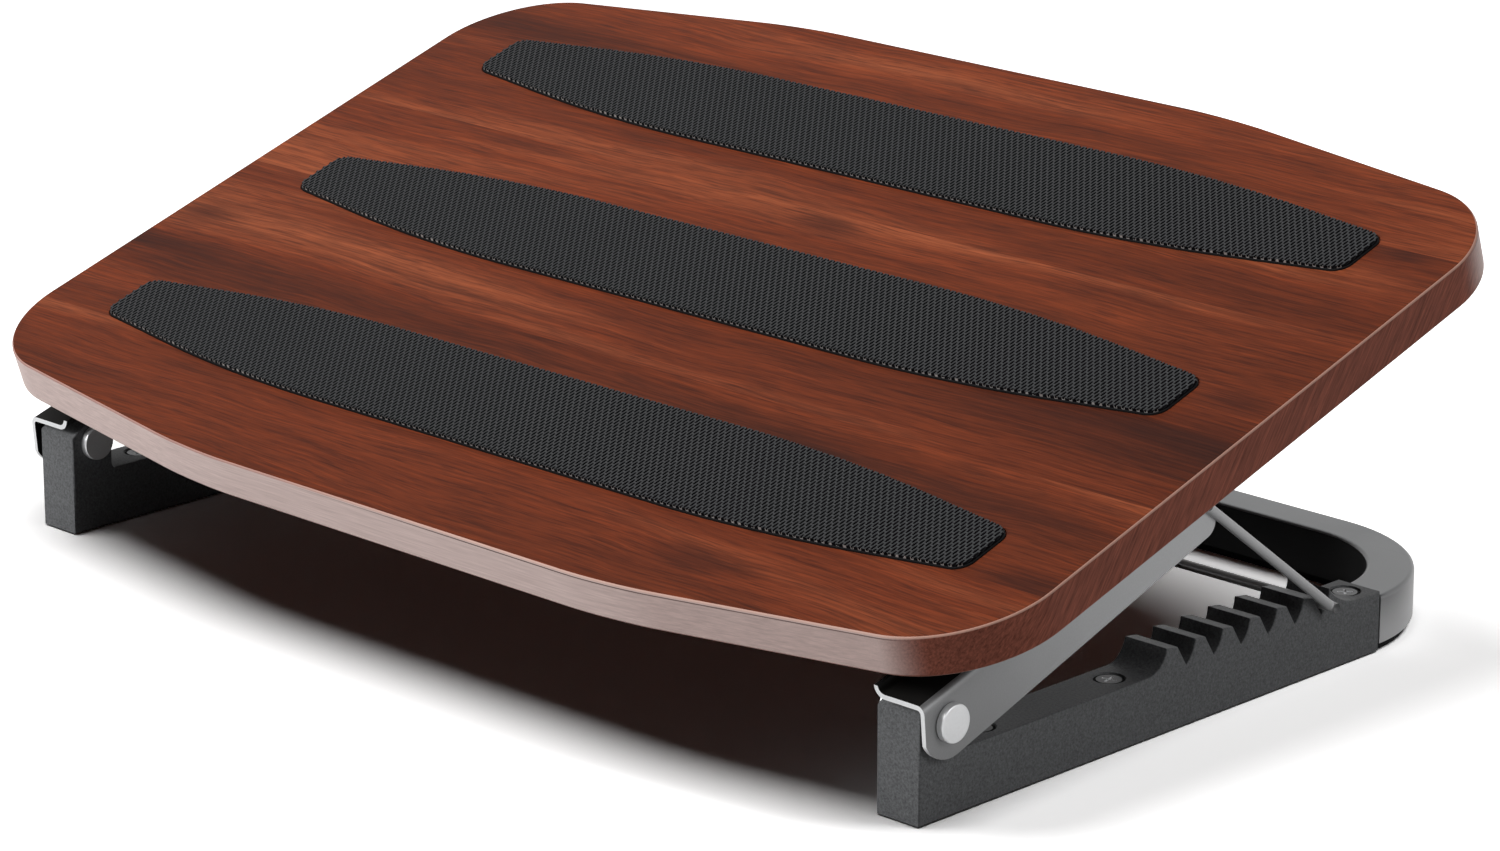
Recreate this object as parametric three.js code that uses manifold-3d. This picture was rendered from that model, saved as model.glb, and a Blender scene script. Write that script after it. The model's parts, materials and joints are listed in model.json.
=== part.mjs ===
// Tilting under-desk footrest. A foot board with three grip pads is hinged at the front of a low base and
// propped by a bent wire, whose cross rod drops into a notch of the two toothed rails.
// Millimetres, +X to the right, +Y to the back, +Z up, with the origin on the floor under the middle.

import * as THREE from 'three';
import { mergeVertices } from 'three/addons/utils/BufferGeometryUtils.js';
import Module from 'manifold-3d';

const wasm = await Module();
wasm.setup();

const radians = THREE.MathUtils.degToRad;

// Fits and fineness
const seatGap = 0.3;            // between pieces that rest on each other
const runningGap = 0.3;         // round a pin or wire that turns in its hole
const overrun = 4;              // how far a cut runs past the face it opens
const facetSagitta = 0.04;      // how far a facet may lie inside its arc
const screwFacets = 16;

// Foot board
const boardWidth = 450;
const boardDepth = 297.4;       // in the middle
const boardEndDepth = 258.8;    // at the two sides
const boardEndRun = 130.2;      // from the side in to where the front and back edges start to slope
const boardKneeRadius = 245;
const boardCornerRadius = 39.2;
const boardThickness = 13.7;
const boardEdgeBevel = 0.7;
const boardMiddleReach = 124.2; // from the hinge line to the board's middle, along the slope
const boardTopHeight = 33.2;    // from the hinge line up to the board's face, square to the slope
const restTilt = radians(17.8);

// Grip pads, let into the board's face
const padEndMargin = 31.7;      // from the board's side to the pad's end
const padWidth = 43.6;          // in the middle
const padEndWidth = 21.9;
const padEndRun = 76.2;         // from the pad's end in to where its edges start to slope
const padKneeRadius = 490;
const padCornerRadius = 5.6;
const padPitch = 89.55;
const padRowShift = 2.4;        // the middle pad lies this far behind the board's middle
const padProud = 1.3;
const padSink = 1;
const padEdgeBevel = 0.4;

// Toothed rails
const railWidth = 17;
const railInset = 25.5;         // from the board's side to the rail's outer face
const railLength = 211.6;
const railGround = 0.5;         // the plastic stays this far off the floor
const railEdgeBevel = 0.5;
const railWall = 2;
const railPocketCount = 6;
const deckHeight = 20;
const postDepth = 16.4;
const postFootRadius = 2;
const postCrownGap = 1;         // between the post's crown and the bracket's shelf above it
const postBevelAngle = radians(34);
const toothCount = 7;
const toothPitch = 12.9;
const rackReach = 103;          // from the first tooth's front to the rail's rear end
const toothHeight = 7.1;        // above the deck
const toothTopLength = 5.2;
const toothTopDrop = 0.8;
const notchReach = 9.2;         // from a tooth's front to the foot of its back slope
const notchDepth = 7.2;
const rampRadius = 8.5;         // hollow in front of the first tooth
const tailRadius = 21;          // hollow behind the last tooth

// Hinge at the top of the front posts
const pivotY = 9.3;
const pivotZ = 30.9;
const rivetShankRadius = 3;
const rivetHeadRadius = 5.9;
const rivetHeadThickness = 2.3;
const rivetHeadBevel = 0.35;
const washerRadius = 5.4;
const washerThickness = 0.7;

// Sheet metal brackets under the board
const sheetThickness = 1.5;
const shelfHeight = 10.1;       // top of the shelf above the hinge line
const flangeFrontRadius = 11.1; // round the hinge
const flangeRearDrop = 7.4;     // how far the flange hangs below the hinge line at its rear end
const flangeRearRadius = 5;
const bracketRearReach = 121.6; // from the hinge line to the rear end
const webInset = 15;            // from the rail's outer face in to the web's outer face
const fixingFlangeWidth = 24.5; // from the web's outer face in to the flange's edge
const flangeBendRadius = 1.2;
const webBendRadius = 2.5;

// Wood screws that hold the brackets
const woodScrewCount = 4;
const woodScrewEndMargin = 16;
const woodScrewShankRadius = 1.8;
const woodScrewHeadRadius = 3.7;
const woodScrewHeadHeight = 2.2;
const woodScrewBite = 9;

// Prop wire
const wireRadius = 1.6;
const wireBendRadius = 2.2;
const wireEndReach = 4.5;       // how far the turned-in ends stand inside the flange
const wirePinReach = 117.5;     // from the hinge line to the wire's own hinge, along the slope
const wirePinHeight = 3.8;      // and square to it
const restNotchCount = 6;       // notches up to the one that the rod lies in

// Rear frame, a channel open downwards
const frameWidth = 15.3;
const frameTopHeight = 18.5;
const frameSkirtHeight = 2.8;   // lower edge above the floor
const frameWall = 1.5;
const frameEdgeRadius = 1.4;
const frameCornerRadius = 54.6;
const frameReach = 53.4;        // behind the rails' rear ends
const frameStripHeight = 10;

// Tie bars inside the rails, and the screws through the deck
const tieBarThickness = 3;
const tieBarFrontY = 25;
const tieBarTail = 10;          // past the rail's rear face, into the frame's channel
const tieBarCornerRadius = 2;
const frontScrewMargin = 18.1;  // behind the post
const middleScrewMargin = 16.6; // in front of the first tooth
const rearScrewMargin = 7.1;    // in front of the rail's rear end
const railScrewShankRadius = 2;
const railScrewHeadRadius = 4.8;
const railScrewHeadHeight = 2.2;
const railScrewSink = 0.3;
const railScrewTip = 2.5;       // past the tie bar
const countersinkGap = 0.4;

// Rubber feet let into the rails
const footMargin = 3;
const footSink = 3.5;
const footLength = 10.4;

// Places that follow from the sizes above
const boardKneeX = boardWidth / 2 - boardEndRun;
const padLength = boardWidth - 2 * padEndMargin;
const padKneeX = padLength / 2 - padEndRun;
const railOuterX = boardWidth / 2 - railInset;
const railInnerX = railOuterX - railWidth;
const railCentreX = railOuterX - railWidth / 2;
const firstToothY = railLength - rackReach;
const railScrewYs = [postDepth + frontScrewMargin, firstToothY - middleScrewMargin, railLength - rearScrewMargin];
const frameInnerX = railOuterX - frameWidth;
const frameRearY = railLength + frameReach;
const flangeInnerX = railOuterX + washerThickness + 2 * seatGap;
const flangeOuterX = flangeInnerX + sheetThickness;
const webOuterX = railOuterX - webInset;
const fixingFlangeInnerX = webOuterX - fixingFlangeWidth;
const wireX = flangeOuterX + seatGap + wireRadius;
const shelfUnderside = shelfHeight - sheetThickness;
const sideReach = wireX + overrun;
const boardUnderside = boardTopHeight - boardThickness;
const fixingFlangeTop = boardUnderside - seatGap;
const channelCeiling = frameTopHeight - frameWall;
const tieBarTop = channelCeiling - seatGap;
const tieBarBottom = tieBarTop - tieBarThickness;
const tieBarWidth = 2 * (railCentreX - frameInnerX - frameWall - seatGap);
const railHoleRadius = railScrewShankRadius + seatGap;
const toothTop = deckHeight + toothHeight;
const notchBottom = toothTop - notchDepth;

// Materials
const finishes = {
  wood: { color: 0x7a3d2c, roughness: 0.42, metalness: 0 },
  rubber: { color: 0x252728, roughness: 0.82, metalness: 0 },
  plastic: { color: 0x434546, roughness: 0.62, metalness: 0 },
  bracketSteel: { color: 0x7b7d7f, roughness: 0.45, metalness: 0.6 },
  frameSteel: { color: 0x64676a, roughness: 0.4, metalness: 0.5 },
  brightSteel: { color: 0xc9ccce, roughness: 0.25, metalness: 1 },
  barSteel: { color: 0x8a8c8e, roughness: 0.5, metalness: 1 },
};

// Outlines

function facetsFor(radius, sweep) {
  const step = 2 * Math.acos(1 - facetSagitta / radius);
  return Math.max(1, Math.ceil(Math.abs(sweep) / step));
}

function arc(a, b, radius, from, to) {
  const count = facetsFor(radius, to - from);
  return Array.from({ length: count + 1 }, (_, i) => {
    const angle = from + ((to - from) * i) / count;
    return new THREE.Vector2(a + radius * Math.cos(angle), b + radius * Math.sin(angle));
  });
}

function circle(a, b, radius) {
  return arc(a, b, radius, 0, 2 * Math.PI).slice(1);
}

function rectangle(a0, b0, a1, b1) {
  return [[a0, b0], [a1, b0], [a1, b1], [a0, b1]].map(([a, b]) => new THREE.Vector2(a, b));
}

// Rounds the corners of a closed outline. Each corner holds two coordinates and, if it is round, a radius.
function rounded(corners) {
  const at = (index) => new THREE.Vector2(...corners[(index + corners.length) % corners.length]);
  return corners.flatMap(([, , radius = 0], index) => {
    const corner = at(index);
    if (radius === 0) return [corner];
    const back = at(index - 1).sub(corner).normalize();
    const ahead = at(index + 1).sub(corner).normalize();
    const half = back.angleTo(ahead) / 2;
    const inwards = back.clone().add(ahead).normalize();
    const centre = corner.clone().addScaledVector(inwards, radius / Math.sin(half));
    const start = corner.clone().addScaledVector(back, radius / Math.tan(half));
    const from = start.sub(centre).angle();
    const turn = -Math.sign(back.cross(ahead)) * (Math.PI - 2 * half);
    return arc(centre.x, centre.y, radius, from, from + turn);
  });
}

// An outline as the board and the pads have it: straight in the middle, drawn in towards both ends.
function lensOutline(length, width, endWidth, kneeX, kneeRadius, cornerRadius, middleY = 0) {
  const end = length / 2;
  const half = width / 2;
  const endHalf = endWidth / 2;
  return rounded([
    [end, middleY - endHalf, cornerRadius],
    [end, middleY + endHalf, cornerRadius],
    [kneeX, middleY + half, kneeRadius],
    [-kneeX, middleY + half, kneeRadius],
    [-end, middleY + endHalf, cornerRadius],
    [-end, middleY - endHalf, cornerRadius],
    [-kneeX, middleY - half, kneeRadius],
    [kneeX, middleY - half, kneeRadius],
  ]);
}

// Solids

const xAxis = new THREE.Vector3(1, 0, 0);
const yAxis = new THREE.Vector3(0, 1, 0);
const zAxis = new THREE.Vector3(0, 0, 1);

// An outline extruded along X is drawn on Y and Z, one along Y on Z and X, one along Z on X and Y.
const bases = {
  x: new THREE.Matrix4().makeBasis(yAxis, zAxis, xAxis),
  y: new THREE.Matrix4().makeBasis(zAxis, xAxis, yAxis),
  z: new THREE.Matrix4().makeBasis(xAxis, yAxis, zAxis),
};

function prism(axis, outline, from, to, bevel = 0, bevelSegments = 1) {
  const geometry = new THREE.ExtrudeGeometry(new THREE.Shape(outline), {
    depth: to - from - 2 * bevel,
    bevelEnabled: bevel > 0,
    bevelThickness: bevel,
    bevelSize: bevel,
    bevelOffset: -bevel,
    bevelSegments,
  });
  geometry.translate(0, 0, from + bevel);
  return geometry.applyMatrix4(bases[axis]);
}

// A turned piece. The profile is a list of radius and height, from the axis back to the axis.
function turned(axis, profile, facets) {
  const points = profile.map(([radius, height]) => new THREE.Vector2(radius, height));
  const geometry = new THREE.LatheGeometry(points, facets);
  return axis === 'x' ? geometry.rotateZ(-Math.PI / 2) : geometry.rotateX(Math.PI / 2);
}

function solidOf(geometry) {
  const bare = geometry.clone();
  bare.deleteAttribute('normal');
  bare.deleteAttribute('uv');
  const merged = mergeVertices(bare);
  return new wasm.Manifold(new wasm.Mesh({
    numProp: 3,
    vertProperties: merged.attributes.position.array,
    triVerts: new Uint32Array(merged.index.array),
  }));
}

function geometryOf(solid) {
  const mesh = solid.getMesh();
  const geometry = new THREE.BufferGeometry();
  geometry.setAttribute('position', new THREE.BufferAttribute(mesh.vertProperties, 3));
  geometry.setIndex(new THREE.BufferAttribute(mesh.triVerts, 1));
  return geometry;
}

function cut(geometry, cutters) {
  const whole = solidOf(geometry);
  return geometryOf(cutters.reduce((solid, cutter) => solid.subtract(solidOf(cutter)), whole));
}

// Rails

function toothFrontY(number) {
  return firstToothY + (number - 1) * toothPitch;
}

// The front face of a tooth is a hollow arc, upright at the top, that starts at the foot of the notch.
const toothFaceRun = toothPitch - notchReach;
const toothFaceRadius = (toothFaceRun ** 2 + notchDepth ** 2) / (2 * toothFaceRun);
const toothFaceSweep = Math.asin(notchDepth / toothFaceRadius);

function toothOutline(number) {
  const frontY = toothFrontY(number);
  const rampDrop = rampRadius - toothHeight;
  const rampRun = Math.sqrt(rampRadius ** 2 - rampDrop ** 2);
  const front = number === 1
    ? arc(frontY - rampRun, deckHeight + rampRadius, rampRadius, -Math.PI / 2, -Math.asin(rampDrop / rampRadius))
    : arc(frontY - toothFaceRadius, toothTop, toothFaceRadius, -toothFaceSweep, 0);
  if (number === toothCount) {
    const tailRise = tailRadius - toothHeight;
    const tailRun = Math.sqrt(tailRadius ** 2 - tailRise ** 2);
    const start = Math.PI + Math.asin(tailRise / tailRadius);
    return [...front, ...arc(frontY + tailRun, deckHeight + tailRadius, tailRadius, start, 1.5 * Math.PI)];
  }
  return [...front, new THREE.Vector2(frontY + toothTopLength, toothTop - toothTopDrop)];
}

// The crown of the post runs round the hinge, below the shelf of the bracket at every tilt.
function postOutline() {
  const crownRadius = shelfUnderside - postCrownGap;
  const bevelTop = pivotZ + crownRadius / Math.cos(postBevelAngle) - pivotY * Math.tan(postBevelAngle);
  const behind = postDepth - pivotY;
  return [
    new THREE.Vector2(0, railGround),
    new THREE.Vector2(0, bevelTop),
    ...arc(pivotY, pivotZ, crownRadius, Math.PI / 2 + postBevelAngle, Math.acos(behind / crownRadius)),
    ...arc(postDepth + postFootRadius, deckHeight + postFootRadius, postFootRadius, Math.PI, 1.5 * Math.PI),
  ];
}

function railOutline() {
  const teeth = Array.from({ length: toothCount }, (_, index) => toothOutline(index + 1)).flat();
  return [
    ...postOutline(),
    ...teeth,
    new THREE.Vector2(railLength, deckHeight),
    new THREE.Vector2(railLength, railGround),
  ];
}

const footYs = [footMargin, railLength - footMargin - footLength];

function railPockets() {
  const first = postDepth + railWall;
  const pitch = (footYs[1] - first) / railPocketCount;
  const half = railWidth / 2 - railWall;
  return Array.from({ length: railPocketCount }, (_, index) => {
    const start = first + index * pitch;
    const outline = rectangle(-half, start, half, start + pitch - railWall);
    return prism('z', outline, railGround - overrun, channelCeiling);
  });
}

function railScrewHole(y) {
  const top = deckHeight;
  const wide = railScrewHeadRadius + countersinkGap;
  const cone = railScrewHeadHeight + railScrewSink;
  const bottom = tieBarBottom - railScrewTip - seatGap;
  const profile = [[0, bottom], [railHoleRadius, bottom], [railHoleRadius, top - cone - seatGap],
    [wide, top - railScrewSink], [wide, top + overrun], [0, top + overrun]];
  return turned('z', profile, screwFacets).translate(0, y, 0);
}

function rackRail() {
  const half = railWidth / 2;
  const body = prism('x', railOutline(), -half, half, railEdgeBevel);
  const slotHalf = tieBarWidth / 2 + seatGap;
  const slot = rectangle(-slotHalf, tieBarFrontY - seatGap, slotHalf, railLength + overrun);
  const footHalf = half - railWall;
  const footRecesses = footYs.map((y) => {
    const outline = rectangle(-footHalf, y - seatGap, footHalf, y + footLength + seatGap);
    return prism('z', outline, railGround - overrun, railGround + footSink);
  });
  return cut(body, [
    ...railPockets(),
    prism('z', slot, tieBarBottom - seatGap, channelCeiling),
    ...footRecesses,
    ...railScrewYs.map(railScrewHole),
    prism('x', circle(pivotY, pivotZ, rivetShankRadius + runningGap), -railWidth, railWidth),
  ]);
}

function railFoot(y) {
  const half = railWidth / 2 - railWall - seatGap;
  return prism('z', rectangle(-half, y, half, y + footLength), 0, railGround + footSink - seatGap, railEdgeBevel);
}

function railScrew() {
  const top = deckHeight - railScrewSink;
  const neck = top - railScrewHeadHeight;
  const tip = tieBarBottom - railScrewTip;
  const profile = [[0, tip], [railScrewShankRadius, tip], [railScrewShankRadius, neck],
    [railScrewHeadRadius, top], [0, top]];
  return turned('z', profile, screwFacets);
}

function tieBar() {
  const half = tieBarWidth / 2;
  const rear = railLength + tieBarTail;
  const outline = rounded([
    [-half, tieBarFrontY, tieBarCornerRadius],
    [half, tieBarFrontY, tieBarCornerRadius],
    [half, rear, tieBarCornerRadius],
    [-half, rear, tieBarCornerRadius],
  ]);
  const holes = railScrewYs.map((y) => prism(
    'z', circle(0, y, railHoleRadius), tieBarBottom - overrun, tieBarTop + overrun,
  ));
  return cut(prism('z', outline, tieBarBottom, tieBarTop), holes);
}

// Rear frame

// The plan of the frame, drawn in by an inset. It starts and ends behind the rails.
function framePlan(inset) {
  const outerRadius = frameCornerRadius - inset;
  const innerRadius = frameCornerRadius - frameWidth + inset;
  const centreX = railOuterX - frameCornerRadius;
  const centreY = frameRearY - frameCornerRadius;
  const start = railLength + seatGap - centreY;
  const outer = Math.asin(start / outerRadius);
  const inner = Math.asin(start / innerRadius);
  return [
    ...arc(centreX, centreY, outerRadius, outer, Math.PI / 2),
    ...arc(-centreX, centreY, outerRadius, Math.PI / 2, Math.PI - outer),
    ...arc(-centreX, centreY, innerRadius, Math.PI - inner, Math.PI / 2),
    ...arc(centreX, centreY, innerRadius, Math.PI / 2, inner),
  ];
}

function rearFrame() {
  const body = prism('z', framePlan(0), frameSkirtHeight - overrun, frameTopHeight, frameEdgeRadius, 3);
  const hollow = prism('z', framePlan(frameWall), frameSkirtHeight - overrun, channelCeiling);
  const side = railOuterX + overrun;
  const below = rectangle(-side, railLength - overrun, side, frameRearY + overrun);
  return cut(body, [hollow, prism('z', below, -frameSkirtHeight - overrun, frameSkirtHeight)]);
}

function rearFootStrip() {
  return prism('z', framePlan(frameWall + seatGap), 0, frameStripHeight);
}

// Hinge

function pivotRivet() {
  const inner = railInnerX - seatGap;
  const outer = flangeOuterX + seatGap;
  const head = (face, outwards) => [
    [rivetHeadRadius, face],
    [rivetHeadRadius, face + outwards * (rivetHeadThickness - rivetHeadBevel)],
    [rivetHeadRadius - rivetHeadBevel, face + outwards * rivetHeadThickness],
    [0, face + outwards * rivetHeadThickness],
  ];
  const profile = [
    ...head(inner, -1).reverse(),
    [rivetShankRadius, inner],
    [rivetShankRadius, outer],
    ...head(outer, 1),
  ];
  return turned('x', profile, facetsFor(rivetHeadRadius, 2 * Math.PI)).translate(0, pivotY, pivotZ);
}

function pivotWasher() {
  const from = railOuterX + seatGap;
  const disc = prism('x', circle(pivotY, pivotZ, washerRadius), from, from + washerThickness);
  const bore = circle(pivotY, pivotZ, rivetShankRadius + runningGap);
  return cut(disc, [prism('x', bore, from - overrun, from + washerThickness + overrun)]);
}

// Board and pads. From here on a piece is drawn with the hinge line as its origin and the slope as level.

function padOutline(row, grown = 0) {
  return lensOutline(
    padLength + 2 * grown, padWidth + 2 * grown, padEndWidth + 2 * grown, padKneeX, padKneeRadius,
    padCornerRadius + grown, boardMiddleReach + padRowShift + row * padPitch,
  );
}

const padRows = [['front', -1], ['middle', 0], ['rear', 1]];

function woodScrewPlaces(side) {
  const x = (side * (fixingFlangeInnerX + webOuterX - sheetThickness)) / 2;
  const first = woodScrewEndMargin - flangeFrontRadius;
  const pitch = (bracketRearReach - woodScrewEndMargin - first) / (woodScrewCount - 1);
  return Array.from({ length: woodScrewCount }, (_, index) => [x, first + index * pitch]);
}

function footBoard() {
  const outline = lensOutline(
    boardWidth, boardDepth, boardEndDepth, boardKneeX, boardKneeRadius, boardCornerRadius, boardMiddleReach,
  );
  const body = prism('z', outline, boardUnderside, boardTopHeight, boardEdgeBevel);
  const recesses = padRows.map(([, row]) => prism(
    'z', padOutline(row, seatGap), boardTopHeight - padSink, boardTopHeight + overrun,
  ));
  const pilotHoles = [1, -1].flatMap(woodScrewPlaces).map(([x, y]) => prism(
    'z', circle(x, y, woodScrewShankRadius + seatGap), boardUnderside - overrun,
    boardUnderside + woodScrewBite + seatGap,
  ));
  return cut(body, [...recesses, ...pilotHoles]);
}

function gripPad(row) {
  const bottom = boardTopHeight - padSink + seatGap;
  return prism('z', padOutline(row), bottom, boardTopHeight + padProud, padEdgeBevel);
}

// Brackets

// The section of the bent sheet, on Z and X: flange, shelf over the post, web, and flange under the board.
function bracketSection(side) {
  const low = -flangeFrontRadius - overrun;
  const webInnerX = webOuterX - sheetThickness;
  const corners = [
    [low, flangeOuterX],
    [shelfHeight, flangeOuterX, flangeBendRadius + sheetThickness],
    [shelfHeight, webOuterX, webBendRadius],
    [fixingFlangeTop, webOuterX, flangeBendRadius + sheetThickness],
    [fixingFlangeTop, fixingFlangeInnerX],
    [fixingFlangeTop - sheetThickness, fixingFlangeInnerX],
    [fixingFlangeTop - sheetThickness, webInnerX, flangeBendRadius],
    [shelfUnderside, webInnerX, webBendRadius + sheetThickness],
    [shelfUnderside, flangeInnerX, flangeBendRadius],
    [low, flangeInnerX],
  ];
  return rounded(corners.map(([z, x, radius]) => [z, side * x, radius]));
}

// The bracket's side view, on Y and Z, as a block that the sheet is kept inside.
function bracketSide() {
  const top = boardUnderside + overrun;
  const front = -flangeFrontRadius;
  const inside = [
    new THREE.Vector2(bracketRearReach, top),
    new THREE.Vector2(front, top),
    ...arc(0, 0, flangeFrontRadius, Math.PI, 1.5 * Math.PI),
    ...rounded([
      [0, -flangeFrontRadius],
      [bracketRearReach, -flangeRearDrop, flangeRearRadius],
      [bracketRearReach, top],
    ]).slice(1, -1),
  ];
  return prism('x', inside, -sideReach, sideReach);
}

function boardBracket(side) {
  const sheet = prism('y', bracketSection(side), -flangeFrontRadius, bracketRearReach);
  const shaped = geometryOf(solidOf(sheet).intersect(solidOf(bracketSide())));
  const screwHoles = woodScrewPlaces(side).map(([x, y]) => prism(
    'z', circle(x, y, woodScrewShankRadius + seatGap), shelfHeight, boardUnderside + overrun,
  ));
  return cut(shaped, [
    ...screwHoles,
    prism('x', circle(0, 0, rivetShankRadius + runningGap), -sideReach, sideReach),
    prism('x', circle(wirePinReach, wirePinHeight, wireRadius + runningGap), -sideReach, sideReach),
  ]);
}

function woodScrew() {
  const seat = fixingFlangeTop - sheetThickness - seatGap;
  const dome = woodScrewHeadRadius - woodScrewHeadHeight / 2;
  const profile = [
    [0, seat - woodScrewHeadHeight],
    [dome, seat - woodScrewHeadHeight],
    [woodScrewHeadRadius, seat - woodScrewHeadHeight / 2],
    [woodScrewHeadRadius, seat],
    [woodScrewShankRadius, seat],
    [woodScrewShankRadius, boardUnderside + woodScrewBite - woodScrewShankRadius],
    [0, boardUnderside + woodScrewBite],
  ];
  return turned('z', profile, screwFacets);
}

// Prop wire

// The rod's centre in a notch, just clear of the back slope before it and of the hollow face behind it.
function rodSeat(notch) {
  const reach = wireRadius + seatGap;
  const slopeTop = new THREE.Vector2(toothFrontY(notch) + toothTopLength, toothTop - toothTopDrop);
  const slopeFoot = new THREE.Vector2(toothFrontY(notch) + notchReach, notchBottom);
  const down = slopeFoot.clone().sub(slopeTop).normalize();
  const out = new THREE.Vector2(-down.y, down.x);
  const hollowCentre = new THREE.Vector2(toothFrontY(notch) + toothPitch - toothFaceRadius, toothTop);
  const start = slopeTop.clone().addScaledVector(out, reach);
  const offset = start.clone().sub(hollowCentre);
  const along = offset.dot(down);
  const room = (toothFaceRadius - reach) ** 2 - offset.lengthSq() + along ** 2;
  return start.addScaledVector(down, Math.sqrt(room) - along);
}

// A bent wire: one station at each end, and several round each bend.
class BentWire extends THREE.Curve {
  constructor(stations) {
    super();
    this.stations = stations;
  }

  getPoint(t, target = new THREE.Vector3()) {
    const place = t * (this.stations.length - 1);
    const index = Math.min(Math.floor(place), this.stations.length - 2);
    return target.lerpVectors(this.stations[index], this.stations[index + 1], place - index);
  }

  getPointAt(t, target) {
    return this.getPoint(t, target);
  }

  getTangentAt(t, target = new THREE.Vector3()) {
    const last = this.stations.length - 1;
    const index = Math.round(t * last);
    const here = this.stations[index];
    const back = here.clone().sub(this.stations[Math.max(index - 1, 0)]).normalize();
    const ahead = this.stations[Math.min(index + 1, last)].clone().sub(here).normalize();
    return target.copy(back).add(ahead).normalize();
  }
}

// The wire lies in one plane, drawn with its own hinge line as the origin and its legs pointing down.
function propWire(legLength) {
  const endX = flangeInnerX - wireEndReach;
  const route = rounded([
    [endX, 0],
    [wireX, 0, wireBendRadius],
    [wireX, -legLength, wireBendRadius],
    [-wireX, -legLength, wireBendRadius],
    [-wireX, 0, wireBendRadius],
    [-endX, 0],
  ]);
  const path = new BentWire(route.map((point) => new THREE.Vector3(point.x, 0, point.y)));
  return new THREE.ExtrudeGeometry(new THREE.Shape(circle(0, 0, wireRadius)), {
    steps: path.stations.length - 1,
    extrudePath: path,
  });
}

// Assembly

function add(group, name, geometry, finish) {
  const material = new THREE.MeshStandardMaterial({ ...finishes[finish], flatShading: true });
  const mesh = new THREE.Mesh(geometry, material);
  mesh.name = name;
  group.add(mesh);
  return mesh;
}

function base() {
  const group = new THREE.Group();
  add(group, 'rear_frame', rearFrame(), 'frameSteel');
  add(group, 'rear_foot_strip', rearFootStrip(), 'rubber');
  for (const [name, side] of [['right', 1], ['left', -1]]) {
    add(group, `rack_rail_${name}`, rackRail(), 'plastic').position.x = side * railCentreX;
    add(group, `tie_bar_${name}`, tieBar(), 'barSteel').position.x = side * railCentreX;
    footYs.forEach((y, index) => {
      const foot = add(group, `${['front', 'rear'][index]}_foot_${name}`, railFoot(y), 'rubber');
      foot.position.x = side * railCentreX;
    });
    railScrewYs.forEach((y, index) => {
      add(group, `rail_screw_${name}_${index + 1}`, railScrew(), 'brightSteel')
        .position.set(side * railCentreX, y, 0);
    });
    const hinge = new THREE.Group();
    add(hinge, `pivot_rivet_${name}`, pivotRivet(), 'brightSteel');
    add(hinge, `pivot_washer_${name}`, pivotWasher(), 'rubber');
    hinge.rotation.z = side > 0 ? 0 : Math.PI;
    hinge.position.y = side > 0 ? 0 : 2 * pivotY;
    group.add(hinge);
  }
  return group;
}

function prop() {
  const group = new THREE.Group();
  const pin = new THREE.Vector2(wirePinReach, wirePinHeight)
    .rotateAround(new THREE.Vector2(), restTilt)
    .add(new THREE.Vector2(pivotY, pivotZ));
  const leg = rodSeat(restNotchCount).sub(pin);
  add(group, 'prop_wire', propWire(leg.length()), 'brightSteel');
  group.position.set(0, wirePinReach, wirePinHeight);
  group.rotation.x = leg.angle() + Math.PI / 2 - restTilt;
  return group;
}

function platform() {
  const group = new THREE.Group();
  add(group, 'foot_board', footBoard(), 'wood');
  for (const [name, row] of padRows) add(group, `grip_pad_${name}`, gripPad(row), 'rubber');
  for (const [name, side] of [['right', 1], ['left', -1]]) {
    add(group, `board_bracket_${name}`, boardBracket(side), 'bracketSteel');
    woodScrewPlaces(side).forEach(([x, y], index) => {
      add(group, `bracket_screw_${name}_${index + 1}`, woodScrew(), 'brightSteel').position.set(x, y, 0);
    });
  }
  group.add(prop());
  group.position.set(0, pivotY, pivotZ);
  group.rotation.x = restTilt;
  return group;
}

function footrest() {
  const whole = new THREE.Group();
  whole.add(base(), platform());
  const box = new THREE.Box3().setFromObject(whole, true);
  whole.position.y = -(box.min.y + box.max.y) / 2;
  const centred = new THREE.Group();
  centred.add(whole);
  return centred;
}

export default footrest();
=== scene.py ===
"""Tilting under-desk footrest: wooden board, rubber pads, toothed rails, wire prop and rear channel.

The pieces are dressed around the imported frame, in metres, +X right, +Y back, +Z up.
"""

import json
import math
from contextlib import contextmanager
from functools import cache

import bmesh
import bpy
from bpy.props import FloatProperty, FloatVectorProperty, IntProperty, PointerProperty
from bpy.types import NodeSocket, Operator, Panel, PropertyGroup
from mathutils import Matrix, Vector


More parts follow.
